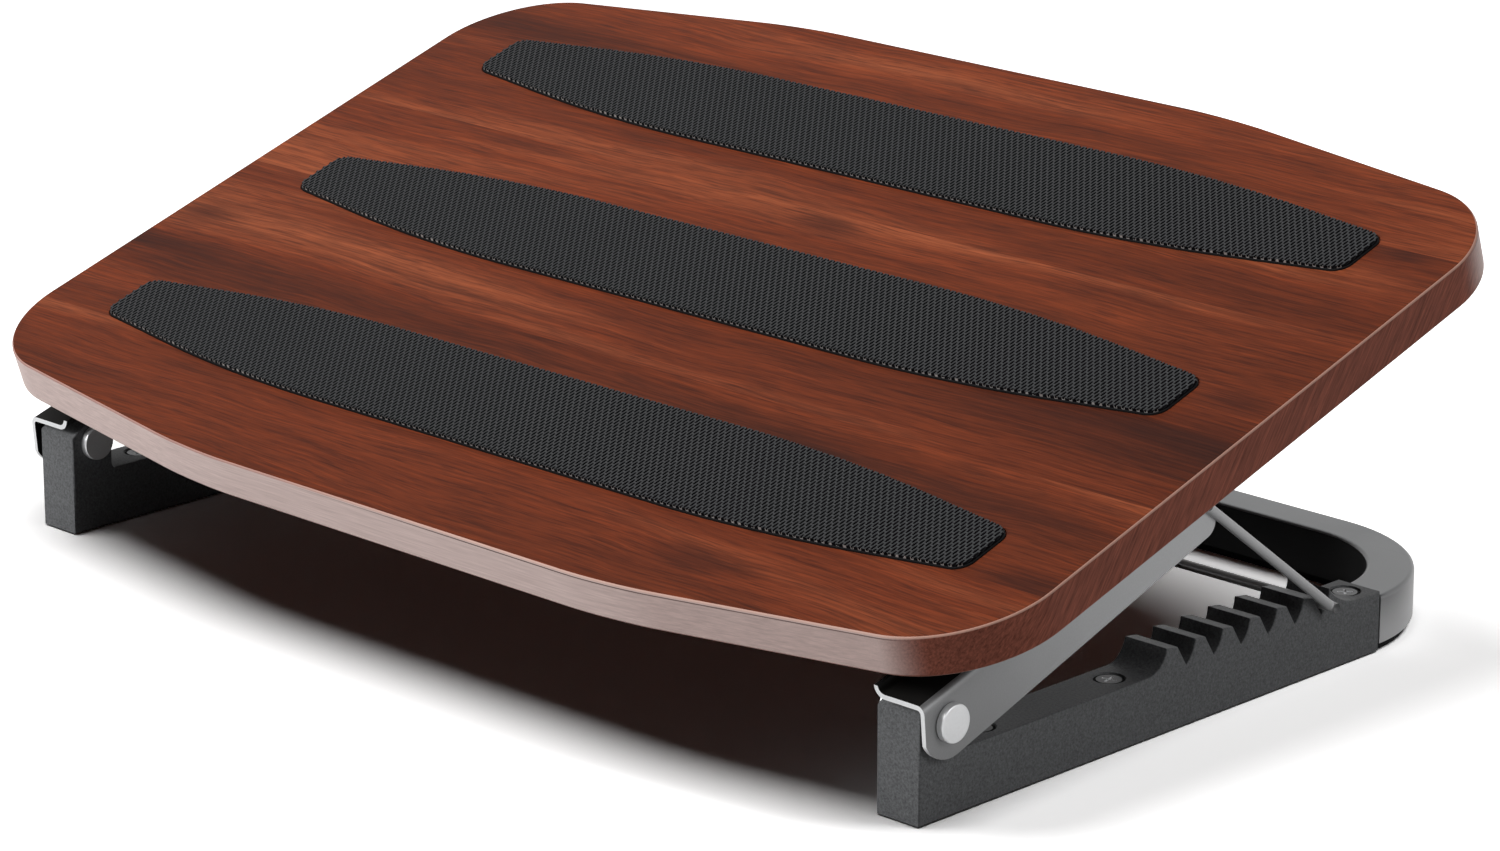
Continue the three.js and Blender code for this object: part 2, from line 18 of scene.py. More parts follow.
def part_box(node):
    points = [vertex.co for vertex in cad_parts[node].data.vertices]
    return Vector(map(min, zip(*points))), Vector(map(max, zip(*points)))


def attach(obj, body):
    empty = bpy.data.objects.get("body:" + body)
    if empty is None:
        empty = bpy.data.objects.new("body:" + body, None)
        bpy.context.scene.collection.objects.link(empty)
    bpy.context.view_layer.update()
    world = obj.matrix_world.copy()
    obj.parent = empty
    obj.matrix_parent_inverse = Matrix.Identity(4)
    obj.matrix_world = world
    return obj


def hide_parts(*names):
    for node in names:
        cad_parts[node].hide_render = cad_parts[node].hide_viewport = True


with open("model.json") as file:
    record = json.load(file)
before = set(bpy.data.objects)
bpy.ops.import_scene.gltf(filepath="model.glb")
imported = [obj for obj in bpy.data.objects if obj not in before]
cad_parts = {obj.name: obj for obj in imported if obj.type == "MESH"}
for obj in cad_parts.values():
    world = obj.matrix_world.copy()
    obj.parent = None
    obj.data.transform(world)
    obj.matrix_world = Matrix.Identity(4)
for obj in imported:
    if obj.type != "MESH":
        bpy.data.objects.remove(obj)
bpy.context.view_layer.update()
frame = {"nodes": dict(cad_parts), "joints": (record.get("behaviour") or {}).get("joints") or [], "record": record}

bl_info = {
    "name": "Tilting footrest",
    "version": (1, 0, 0),
    "blender": (4, 5, 0),
    "location": "View3D > Sidebar > Footrest",
    "description": "Dresses the packed frame of a tilting footrest with its wood, rubber, plastic and steel",
    "category": "Object",
}

MM = 0.001
WELD = 0.002 * MM           # points nearer than this are merged
CUT = 0.001 * MM            # a cut takes points nearer than this as lying on it
SAME = 0.01 * MM            # places nearer than this count as one
QUARTER = math.pi / 2
LEVEL = 0.9                 # the normal of a face that lies level has at least this much Z
UPRIGHT = 0.5               # and that of an upright face less than this
SIDES = {"right": 1, "left": -1}
PAD_ROWS = {"front": -1, "middle": 0, "rear": 1}
JOINTS = {joint["name"]: Vector(joint["pos_m"]) for joint in frame["joints"]}
REST_TILT = math.radians(17.8)
# The board's own frame: the hinge line is its origin, and its XY plane lies along the slope.
SLOPE = Matrix.Translation(JOINTS["platform_tilt"]) @ Matrix.Rotation(REST_TILT, 4, "X")
UNSLOPE = SLOPE.inverted()


def length(name, description, millimetres):
    return FloatProperty(
        name=name, description=description, default=millimetres * MM, min=0, unit="LENGTH", precision=5
    )


def colour(name, description, values):
    return FloatVectorProperty(
        name=name, description=description, default=values, min=0, max=1, size=3, subtype="COLOR"
    )


def number(name, description, value, **others):
    return FloatProperty(name=name, description=description, default=value, **others)


class BoardSettings(PropertyGroup):
    """Sizes and colours of the wooden board."""

    width: length("Width", "From side to side", 450)
    depth: length("Depth", "From front to back in the middle", 297.4)
    end_depth: length("End depth", "From front to back at the two sides", 258.8)
    knee: length("Knee", "From the middle to where the long edges start to slope", 94.8)
    knee_radius: length("Knee radius", "Rounding where the long edges start to slope", 245)
    corner_radius: length("Corner radius", "Rounding of the four corners", 39.2)
    middle: length("Middle", "From the hinge line to the board's middle", 124.2)
    underside: length("Underside", "From the hinge line up to the underside", 19.5)
    top: length("Top", "From the hinge line up to the face", 33.2)
    edge_round: length("Edge rounding", "Rounding of the upper and lower edge", 0.9)
    recess_round: length("Recess rounding", "Rounding of the edges round the pads", 0.25)
    seam: length("Seam", "From the face down to the seam of the edge band", 1.1)
    plank: length("Plank", "Width of the planks in the wood's figure", 49.5)
    light: colour("Light wood", "Light bands of the face", (0.23, 0.06, 0.025))
    mid: colour("Middle wood", "Main colour of the face", (0.133, 0.0275, 0.0098))
    dark: colour("Dark wood", "Dark streaks of the face", (0.04, 0.0095, 0.0048))
    band: colour("Edge band", "Edge band on the sides", (0.24, 0.077, 0.051))
    # Painted sheen: the front and back faces of the edge band are drawn pale
    band_front_sheen: colour("Front edge band sheen", "Edge band along the front", (0.72, 0.575, 0.54))
    # Painted highlight: the light line along the rounded upper and lower edges
    rim: colour("Rim", "Light line along the upper and lower edge", (0.55, 0.34, 0.27))


class PadSettings(PropertyGroup):
    """Sizes and colours of the rubber pads."""

    length: length("Length", "From end to end", 386.6)
    width: length("Width", "From front to back in the middle", 43.6)
    end_width: length("End width", "From front to back at the two ends", 21.9)
    knee: length("Knee", "From the middle to where the long edges start to slope", 117.1)
    knee_radius: length("Knee radius", "Rounding where the long edges start to slope", 490)
    corner_radius: length("Corner radius", "Rounding of the four corners", 5.6)
    edge_round: length("Edge rounding", "Rounding of the plain rubber round the ribs", 0.3)
    pitch: length("Pad pitch", "From pad to pad", 89.55)
    row_shift: length("Row shift", "From the board's middle back to the middle pad", 2.4)
    sink: length("Sink", "Depth of the recess in the board", 1)
    gap: length("Gap", "Between the pad and its recess", 0.3)
    proud: length("Proud", "From the board's face up to the pad's ribs", 1.3)
    rim: length("Rim", "Plain rim outside the ribs", 0.35)
    ground: length("Ground", "Plain rubber above the board's face", 0.35)
    column: length("Column", "From one row of holes to the next across the pad", 1.306)
    hole_pitch: length("Hole pitch", "From hole to hole within a row", 3.18)
    hole_depth: length("Hole depth", "Depth of the holes among the ribs", 0.8)
    rubber: colour("Rubber", "Colour of the ribs", (0.05, 0.051, 0.053))
    # Painted shade: the near black colour down in the holes
    hole_shade: colour("Hole shade", "Colour down in the holes", (0.003, 0.003, 0.0035))
    # Painted highlight: the light ends of the ribs along the outline
    bead_highlight: colour("Bead highlight", "Light ends of the ribs along the outline", (0.36, 0.345, 0.335))


class MetalSettings(PropertyGroup):
    """Sizes and colours of the rails and the metal pieces."""

    plastic: colour("Rail plastic", "Dark grey moulded plastic", (0.112, 0.115, 0.119))
    bracket: colour("Bracket", "Satin grey sheet", (0.3, 0.303, 0.308))
    # Painted shade: the inner side of the bracket sheet, under the board, is drawn black
    bracket_inside: colour("Bracket inside", "Black inner side of the bracket sheet", (0.01, 0.0095, 0.009))
    channel: colour("Channel", "Satin dark grey coating of the rear channel", (0.1, 0.105, 0.11))
    # Painted shade on the channel's rounded edge, and a painted reflection of the floor low on its upright sides
    channel_edge_shade: colour("Channel edge shade", "Darker rounded edge of the rear channel", (0.045, 0.047, 0.05))
    channel_foot_reflection: colour("Channel foot reflection", "Lighter foot of the channel's upright sides", (0.5, 0.502, 0.51))
    # Painted shade: the channel's inner wall is drawn black
    channel_inside: colour("Channel inside", "Black inner wall of the rear channel", (0.011, 0.011, 0.0115))
    bright: colour("Bright steel", "Rivet heads", (0.8, 0.81, 0.82))
    # Bare cut edge drawn bright as a painted highlight, also used for a painted highlight in the screws' cross
    # recesses
    cut_edge: colour("Cut edge", "Bare cut edge of the bracket sheet", (0.8, 0.81, 0.82))
    wire: colour("Wire", "Dull drawn wire of the prop", (0.42, 0.423, 0.428))
    screw: colour("Screws", "Blackened screw heads", (0.055, 0.055, 0.058))
    bar: colour("Bars", "Plain steel bars inside the rails", (0.25, 0.255, 0.26))
    foot: colour("Feet", "Rubber feet and strip", (0.008, 0.008, 0.0085))
    chamfer: length("Chamfer", "Broken edge of the cut sheet", 0.25)
    shelf: length("Shelf", "From the hinge line up to the shelf of the bracket", 10.1)
    shelf_front: length("Shelf front", "From the hinge line forward to the front edge of the shelf", 8.2)
    web_start: length("Web start", "From the hinge line back to where the bracket's web starts", 19)
    sheet_limit: length("Sheet limit", "A face with more metal than this behind it is a cut edge", 2.4)
    rail_edge: length("Rail edge", "Broken edge of the moulded rails", 0.3)
    wire_radius: length("Wire radius", "Radius of the prop wire", 1.6)
    wire_spread: length("Wire spread", "How much further out the legs stand than the solid's", 3.0)
    wire_pin: length("Wire pin", "From the solid's legs in to the end of the wire", 7.9)
    wire_round: length("Wire rounding", "Rounding of the wire's ends", 0.3)
    wire_bend: length("Wire bend", "Radius of the wire's bends", 2.2)
    wire_facets: IntProperty(name="Wire facets", description="Facets round the wire", default=24, min=8)
    rivet_head: length("Rivet head", "Radius of the rivet heads", 5.9)
    rivet_shank: length("Rivet shank", "Radius of the rivet's shank", 3)
    rivet_thickness: length("Rivet head thickness", "Thickness of the rivet heads", 2.3)
    rivet_round: length("Rivet rounding", "Rounding of the rivet heads", 0.45)
    screw_head: length("Screw head", "Radius of the countersunk heads", 4.8)
    screw_cross: length("Screw cross", "Length of one arm of the cross recess", 3.1)


class StageSettings(PropertyGroup):
    """Floor, lights and camera."""

    floor: length("Floor", "Width of the floor", 1900)
    lens: number("Lens", "Focal length in millimetres", 125.95, min=1)
    azimuth: number("Azimuth", "Camera's turn round the footrest", math.radians(44.409), unit="ROTATION")
    elevation: number("Elevation", "Camera's height angle", math.radians(17.042), unit="ROTATION")
    place: FloatVectorProperty(
        name="Camera place", description="Where the camera stands", default=(1.14152, -1.15108, 0.54812),
        unit="LENGTH",
    )
    world_light: number("Room light", "Even light from all round", 0.009, min=0)
    world_tint: colour("Room tint", "Tint of the even light, reddish as under the board", (1, 0.66, 0.56))
    key_light: number("Key light", "Power of the overhead light", 22.5, min=0)
    front_light: number("Front light", "Power of the light in front", 60, min=0)
    side_light: number("Side light", "Power of the light at the right", 18, min=0)
    floor_light: number("Floor light", "Power of the light for the floor", 20.5, min=0)


SETTINGS = {"board": BoardSettings, "pads": PadSettings, "metal": MetalSettings, "stage": StageSettings}


def settings(part):
    return getattr(bpy.context.scene, f"footrest_{part}")


# Selecting and editing


def select_only(piece, *others):
    bpy.ops.object.select_all(action="DESELECT")
    for each in (piece, *others):
        each.select_set(True)
    bpy.context.view_layer.objects.active = piece


@contextmanager
def editing(piece):
    """Edit mode on one piece, with all of it selected."""
    select_only(piece)
    bpy.ops.object.mode_set(mode="EDIT")
    bpy.ops.mesh.select_all(action="SELECT")
    yield
    bpy.ops.object.mode_set(mode="OBJECT")


def pick(kind, test):
    """Selects the vertices, edges or faces that pass a test."""
    bpy.ops.mesh.select_mode(type=kind)
    bpy.ops.mesh.select_all(action="DESELECT")
    mesh = bmesh.from_edit_mesh(bpy.context.object.data)
    for element in {"VERT": mesh.verts, "EDGE": mesh.edges, "FACE": mesh.faces}[kind]:
        if test(element):
            element.select_set(True)
    bmesh.update_edit_mesh(bpy.context.object.data)


def resize(scale, centre=(0, 0, 0)):
    bpy.ops.transform.resize(value=scale, center_override=centre)


def shift(offset):
    bpy.ops.transform.translate(value=offset)


def extrude(offset, scale=None, centre=(0, 0, 0)):
    """Extrudes the selection, and scales its new end about a centre."""
    bpy.ops.mesh.extrude_region_move(TRANSFORM_OT_translate={"value": offset})
    if scale:
        resize(scale, centre)


def bevel(width, segments):
    bpy.ops.mesh.bevel(offset=width, segments=segments, affect="EDGES")


def face_outwards():
    bpy.ops.mesh.select_all(action="SELECT")
    bpy.ops.mesh.normals_make_consistent(inside=False)


def primitive(name, add, stretch=None, **values):
    """A primitive to be modelled further, with its place and turn in its mesh, and stretched about the origin."""
    bpy.ops.object.select_all(action="DESELECT")
    add(**values)
    made = bpy.context.object
    made.name = name
    bpy.ops.object.transform_apply(location=True, rotation=True, scale=True)
    if stretch:
        with editing(made):
            resize(stretch)
    return made


def disc(name, radius, facets, place=(0, 0, 0), sideways=False):
    """A filled circle, level or square to X."""
    return primitive(name, bpy.ops.mesh.primitive_circle_add, vertices=facets, radius=radius, fill_type="NGON",
                     rotation=(0, QUARTER if sideways else 0, 0), location=place)


def apply_modifier(piece, kind, **values):
    select_only(piece)
    modifier = piece.modifiers.new(kind.title(), kind)
    for name, value in values.items():
        setattr(modifier, name, value)
    bpy.ops.object.modifier_apply(modifier=modifier.name)


def round_edges(piece, width, segments=2, angle=60):
    apply_modifier(
        piece, "BEVEL", width=width, segments=segments, limit_method="ANGLE", angle_limit=math.radians(angle)
    )


def repeat(piece, count, offset):
    apply_modifier(piece, "ARRAY", count=count, use_relative_offset=False, use_constant_offset=True,
                   constant_offset_displace=offset)


def smooth(piece, angle=35, weighted=True):
    select_only(piece)
    bpy.ops.object.shade_smooth_by_angle(angle=math.radians(angle))
    if weighted:
        apply_modifier(piece, "WEIGHTED_NORMAL", keep_sharp=True)


def combine(piece, tool, operation="DIFFERENCE"):
    """Cuts a tool out of a piece or unites the two, and removes the tool."""
    apply_modifier(piece, "BOOLEAN", operation=operation, object=tool, solver="EXACT")
    bpy.data.objects.remove(tool)


def settle(piece, matrix):
    """Puts a piece drawn at the origin where it belongs, with its place in its mesh."""
    select_only(piece)
    piece.matrix_world = matrix
    bpy.ops.object.transform_apply(location=True, rotation=True, scale=True)


def hand_over(piece, body, node, finishes=()):
    """Gives a finished piece its body and materials, and hides the CAD node that it replaces."""
    piece.data.name = piece.name
    for finish in finishes:
        piece.data.materials.append(finish.material)
    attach(piece, body)
    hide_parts(node)


def linked(name, data):
    made = bpy.data.objects.new(name, data)
    bpy.context.scene.collection.objects.link(made)
    return made


def copy_of(piece, name):
    """A copy with its own mesh."""
    return linked(name, piece.data.copy())


def dressed_copy(node, name):
    """A new piece with a CAD node's shape, its loose triangles merged."""
    piece = copy_of(frame["nodes"][node], name)
    piece.data.materials.clear()
    select_only(piece)
    if piece.data.has_custom_normals:
        bpy.ops.mesh.customdata_custom_splitnormals_clear()
    with editing(piece):
        bpy.ops.mesh.remove_doubles(threshold=WELD)
        bpy.ops.mesh.dissolve_limited(angle_limit=math.radians(0.5))
    return piece


# Shader nodes


def label(key):
    return key.replace("_", " ").capitalize()


class Nodes:
    """Adds shader nodes to a tree. What goes into a node is a value or another node's output."""

    def __init__(self, tree):
        self.tree = tree

    def feed(self, socket, value):
        if isinstance(value, NodeSocket):
            self.tree.links.new(value, socket)
        elif socket.type == "RGBA" and len(value) == 3:
            socket.default_value = (*value, 1)
        else:
            socket.default_value = value

    def add(self, kind, inputs, **values):
        """One node, with its inputs by name or number. Gives its outputs."""
        made = self.tree.nodes.new(kind)
        for name, value in values.items():
            setattr(made, name, value)
        for key, value in inputs.items():
            self.feed(made.inputs[key], value)
        return made.outputs

    def group(self, group, **inputs):
        made = self.tree.nodes.new("ShaderNodeGroup")
        made.node_tree = group.tree
        for key, value in inputs.items():
            self.feed(made.inputs[label(key)], value)
        return made.outputs

    def ramp(self, factor, *stops):
        """A colour ramp. Stops are pairs of position and colour or grey."""
        made = self.tree.nodes.new("ShaderNodeValToRGB")
        self.feed(made.inputs[0], factor)
        elements = made.color_ramp.elements
        while len(elements) < len(stops):
            elements.new(0.5)
        for element, (position, tone) in zip(elements, stops):
            element.position = position
            element.color = (*tone, 1) if hasattr(tone, "__len__") else (tone, tone, tone, 1)
        return made.outputs[0]

    def blend(self, factor, a, b, how="MIX"):
        return self.add("ShaderNodeMix", {0: factor, 6: a, 7: b}, data_type="RGBA", blend_type=how)[2]

    def toned(self, a, b, factor=1.0):
        return self.blend(factor, a, b, "MULTIPLY")

    def maths(self, operation, *values, clamp=False):
        return self.add("ShaderNodeMath", dict(enumerate(values)), operation=operation, use_clamp=clamp)[0]

    def plus(self, a, b, clamp=False):
        return self.maths("ADD", a, b, clamp=clamp)

    def minus(self, a, b, clamp=False):
        return self.maths("SUBTRACT", a, b, clamp=clamp)

    def times(self, a, b):
        return self.maths("MULTIPLY", a, b)

    def span(self, value, low, high, to_low=0.0, to_high=1.0, kind="SMOOTHSTEP"):
        """The value's way from low to high."""
        return self.add("ShaderNodeMapRange", {0: value, 1: low, 2: high, 3: to_low, 4: to_high},
                        interpolation_type=kind)[0]

    def noise(self, vector, scale=1.0, detail=3.0, roughness=0.55, distortion=0.0):
        return self.add("ShaderNodeTexNoise", {
            "Vector": vector, "Scale": scale, "Detail": detail, "Roughness": roughness, "Distortion": distortion,
        })[0]

    def stretched(self, vector, scale, location=(0, 0, 0), rotation=(0, 0, 0)):
        return self.add("ShaderNodeMapping", {
            "Vector": vector, "Scale": scale, "Location": location, "Rotation": rotation,
        })[0]

    def axes(self, vector):
        return self.add("ShaderNodeSeparateXYZ", {0: vector})

    def rays(self):
        """1 for the rays that show or mirror a thing, 0 for those that carry light, and the camera's rays alone."""
        rays = self.add("ShaderNodeLightPath", {})
        mirrored = self.maths("MAXIMUM", rays["Is Glossy Ray"], rays["Is Transmission Ray"])
        return self.maths("MAXIMUM", rays["Is Camera Ray"], mirrored), rays["Is Camera Ray"]


class Group(Nodes):
    """A shader node group. Its inputs are given with their defaults, None for a vector."""

    def __init__(self, name, **inputs):
        super().__init__(bpy.data.node_groups.new(name, "ShaderNodeTree"))
        for key, default in inputs.items():
            kind = "NodeSocketVector" if default is None else "NodeSocketFloat"
            socket = self.tree.interface.new_socket(label(key), in_out="INPUT", socket_type=kind)
            if default is not None:
                socket.default_value = default
        given = self.tree.nodes.new("NodeGroupInput").outputs
        self.given = [given[label(key)] for key in inputs]

    def give(self, **outputs):
        for key in outputs:
            self.tree.interface.new_socket(label(key), in_out="OUTPUT", socket_type="NodeSocketFloat")
        result = self.tree.nodes.new("NodeGroupOutput").inputs
        for key, value in outputs.items():
            self.feed(result[label(key)], value)
        return self


@cache
def fine_grain():
    """Fine even grain of a moulded or coated surface, with soft cloudy patches."""
    group = Group("Fine grain", vector=None, scale=1500.0, contrast=0.3, patches=0.1)
    vector, scale, contrast, patches = group.given
    grain = group.noise(vector, scale, detail=2.0, roughness=0.7)
    cloud = group.noise(vector, 22.0, detail=4.0, roughness=0.6)
    uneven = group.plus(group.times(group.minus(grain, 0.5), contrast), group.times(group.minus(cloud, 0.5), patches))
    return group.give(tone=group.plus(1.0, uneven), height=grain, patch=cloud)


@cache
def handling():
    """Faint rubs and hairline scratches from handling."""
    group = Group("Handling marks", vector=None, amount=0.1)
    vector, strength = group.given
    rubs = group.span(group.noise(vector, 14.0, detail=5.0, distortion=0.4), 0.42, 0.72)
    along = group.stretched(vector, (35, 900, 900), rotation=(0.2, 0.1, 0.35))
    hairs = group.span(group.noise(along, detail=1.0), 0.66, 0.74)
    return group.give(mask=group.times(group.plus(rubs, group.times(hairs, 0.6), clamp=True), strength))


PLANK_SEED = 1315.0         # picks the planks' tones
PLANK_SHIFT = 3.0           # how far the figure of one plank may lie from the next one's, in metres


@cache
def wood_figure():
    """Planks with their fibres along X, each with broad bands, growth lines, dark streaks and fine fibres."""
    group = Group("Wood figure", vector=None, waviness=0.009, plank_width=0.05, middle=0.0)
    vector, waviness, width, middle = group.given
    drift = group.noise(group.stretched(vector, (7, 16, 1)), detail=2.0)
    x, y, z = group.axes(vector)
    row = group.maths("FLOOR", group.maths("DIVIDE", group.minus(y, middle), width))
    chance = group.add("ShaderNodeTexWhiteNoise", {"W": group.plus(row, PLANK_SEED)}, noise_dimensions="1D")["Value"]
    waved = group.add("ShaderNodeCombineXYZ", {
        0: group.plus(x, group.times(chance, PLANK_SHIFT)),
        1: group.plus(y, group.times(group.minus(drift, 0.5), waviness)),
        2: z,
    })[0]

    def figure(scale, location=(0, 0, 0), **values):
        return group.noise(group.stretched(waved, scale, location), **values)

    band = figure((1.9, 27, 1), (0.3, 0.7, 0), roughness=0.5)
    growth = figure((8, 380, 1), (4, 2, 0), detail=4.0, roughness=0.62)
    streak = figure((9, 120, 1), (9, 5, 0), detail=4.0, roughness=0.6)
    fibre = figure((42, 1100, 40), roughness=0.7)
    pore = figure((70, 1500, 40), (2, 8, 0), detail=1.0)
    cells = group.add("ShaderNodeTexVoronoi", {
        "Vector": group.stretched(waved, (5.5, 15, 0), (0.35, 0.2, 0)), "Scale": 1.0,
    }, voronoi_dimensions="2D")["Distance"]
    return group.give(plank=chance, band=band, growth=growth, streak=group.span(streak, 0.52, 0.72), fibre=fibre,
                      pore=group.span(pore, 0.58, 0.7), knot=group.span(cells, 0.14, 0.0))


class Finish(Nodes):
    """A material with a Principled shader. Its constants are set on the shader's own sockets."""

    def __init__(self, name, roughness, metallic=0.0, **values):
        self.material = bpy.data.materials.new(name)
        self.material.use_nodes = True
        super().__init__(self.material.node_tree)
        self.shader = self.tree.nodes["Principled BSDF"].inputs
        self.places = self.add("ShaderNodeTexCoord", {})
        self.place = self.places["Object"]
        self.drive(roughness=roughness, metallic=metallic, **values)

    def drive(self, **sockets):
        for key, value in sockets.items():
            self.feed(self.shader[key.replace("_", " ").title().replace("Ior", "IOR")], value)

    def bump(self, height, strength, distance):
        made = self.add("ShaderNodeBump", {"Height": height, "Strength": strength, "Distance": distance})
        self.drive(normal=made[0])

    def colour(self):
        return self.shader["Base Color"].links[0].from_socket

    def slope_place(self):
        """Object coordinates turned into the board's own frame."""
        return self.stretched(self.place, (1, 1, 1), UNSLOPE.translation, (-REST_TILT, 0, 0))

    def facing(self, direction):
        """How much the surface faces a direction."""
        return self.add("ShaderNodeVectorMath", {0: self.places["Normal"], 1: direction},
                        operation="DOT_PRODUCT")["Value"]


def grained(name, base, roughness, metallic=0.0, scale=1500.0, contrast=0.3, patches=0.15, marks=0.06,
            strength=0.25, distance=0.02 * MM, **values):
    """A coated, moulded or rolled surface of one colour, with fine grain and faint rubs."""
    finish = Finish(name, roughness, metallic, **values)
    grain = finish.group(fine_grain(), vector=finish.place, scale=scale, contrast=contrast, patches=patches)
    rubs = finish.group(handling(), vector=finish.place, amount=marks)["Mask"]
    uneven = finish.plus(finish.times(finish.minus(grain["Patch"], 0.5), 0.12), roughness)
    finish.drive(base_color=finish.toned(base, grain["Tone"]), roughness=finish.plus(uneven, rubs, clamp=True))
    finish.bump(grain["Height"], strength, distance)
    return finish


# The coats by their colour among the metal settings: name, roughness, metallic, and what differs from the usual
COATS = {
    "plastic": ("Rail plastic", 0.52, 0.0, dict(scale=1300.0, contrast=1.7, patches=0.18, strength=0.6,
                                                distance=0.1 * MM, specular_ior_level=0.2)),
    "bracket": ("Bracket sheet", 0.42, 0.35, dict(scale=1800.0, contrast=0.18, strength=0.15)),
    # Painted shade and highlights: the black inner sides of bracket and channel, and the bright cut edge
    "bracket_inside": ("Bracket inside", 0.5, 0.0, dict(scale=1800.0, contrast=0.18, strength=0.15,
                                                        specular_ior_level=0.1)),
    "channel": ("Channel coat", 0.3, 0.2, dict(scale=2200.0, contrast=0.2, strength=0.12, specular_ior_level=0.9)),
    "channel_inside": ("Channel inside", 0.5, 0.0, dict(scale=2200.0, strength=0.12, specular_ior_level=0.1)),
    "bright": ("Bright steel", 0.3, 0.5, dict(scale=1200.0, contrast=0.1, strength=0.1)),
    "cut_edge": ("Cut edge", 0.35, 0.3, dict(scale=1800.0, contrast=0.15, strength=0.1)),
    "wire": ("Drawn wire", 0.4, 0.3, dict(scale=1200.0, contrast=0.15, strength=0.1, specular_ior_level=0.3)),
    "screw": ("Blackened steel", 0.38, 0.3, dict(scale=1600.0, contrast=0.25, strength=0.2)),
    "foot": ("Foot rubber", 0.8, 0.0, dict(scale=2400.0, contrast=0.5, strength=0.4, specular_ior_level=0.08)),
    "bar": ("Bar steel", 0.5, 0.8, dict(scale=900.0, contrast=0.25, strength=0.2)),
}


@cache
def coat(key):
    name, roughness, metallic, values = COATS[key]
    finish = grained(name, getattr(settings("metal"), key), roughness, metallic, **values)
    if key in EXTRAS:
        finish.drive(base_color=EXTRAS[key](finish, settings("metal")))
    return finish


def painted_shade_near_hinge(finish, metal):
    """Painted shade and light on the bracket's colour: darker near the hinge, paler over the next 110 mm."""
    along = finish.axes(finish.slope_place())[1]
    return finish.toned(finish.colour(), finish.ramp(finish.span(along, 0, 110 * MM), (0.0, 0.8), (0.25, 1.0),
                                                     (1.0, 1.35)))


def painted_channel_shade_and_reflection(finish, metal):
    """The channel's colour: painted shade on the rounded edge, and a painted reflection of the floor, lighter low
    down on the upright sides.
    """
    steep = finish.maths("ABSOLUTE", finish.axes(finish.places["Normal"])[2])
    height = finish.axes(finish.place)[2]
    skirt_shade_and_reflection = finish.blend(finish.span(height, 24 * MM, 4 * MM), metal.channel_edge_shade, metal.channel_foot_reflection)
    return finish.blend(finish.span(steep, 0.98, 0.6), finish.colour(), skirt_shade_and_reflection)


# Painted light and shade laid over the bracket's and the channel's coats
EXTRAS = {"bracket": painted_shade_near_hinge, "channel": painted_channel_shade_and_reflection}


@cache
def wood_face():
    """Satin laminate of the face: reddish brown with light bands, dark streaks and fine fibres along X."""
    board = settings("board")
    finish = Finish("Wood face", 0.42, specular_ior_level=0.03)
    figure = finish.group(wood_figure(), vector=finish.slope_place(), waviness=0.012, plank_width=board.plank,
                          middle=board.middle)
    tone = finish.ramp(figure["Band"], (0.3, board.dark), (0.42, [0.75 * c for c in board.mid]), (0.53, board.mid),
                       (0.66, board.light))
    growth = finish.ramp(figure["Growth"], (0.3, (0.6, 0.54, 0.52)), (0.5, (0.95, 0.94, 0.93)),
                         (0.7, (1.18, 1.22, 1.24)))
    tone = finish.toned(tone, growth, 0.65)
    tone = finish.toned(tone, finish.ramp(figure["Plank"], (0.0, (0.88, 0.85, 0.82)), (1.0, (1.22, 1.22, 1.16))))
    for mark, strength in (("Streak", 0.4), ("Knot", 0.7)):
        tone = finish.blend(finish.times(figure[mark], strength), tone, board.dark)
    tone = finish.toned(tone, finish.ramp(figure["Fibre"], (0.3, 0.4), (0.7, 1.45)), 0.8)
    tone = finish.blend(finish.times(figure["Pore"], 0.45), tone, board.dark)
    finish.drive(base_color=tone, roughness=finish.span(figure["Fibre"], 0.2, 0.8, 0.36, 0.5))
    finish.bump(figure["Fibre"], 0.22, 0.05 * MM)
    return finish


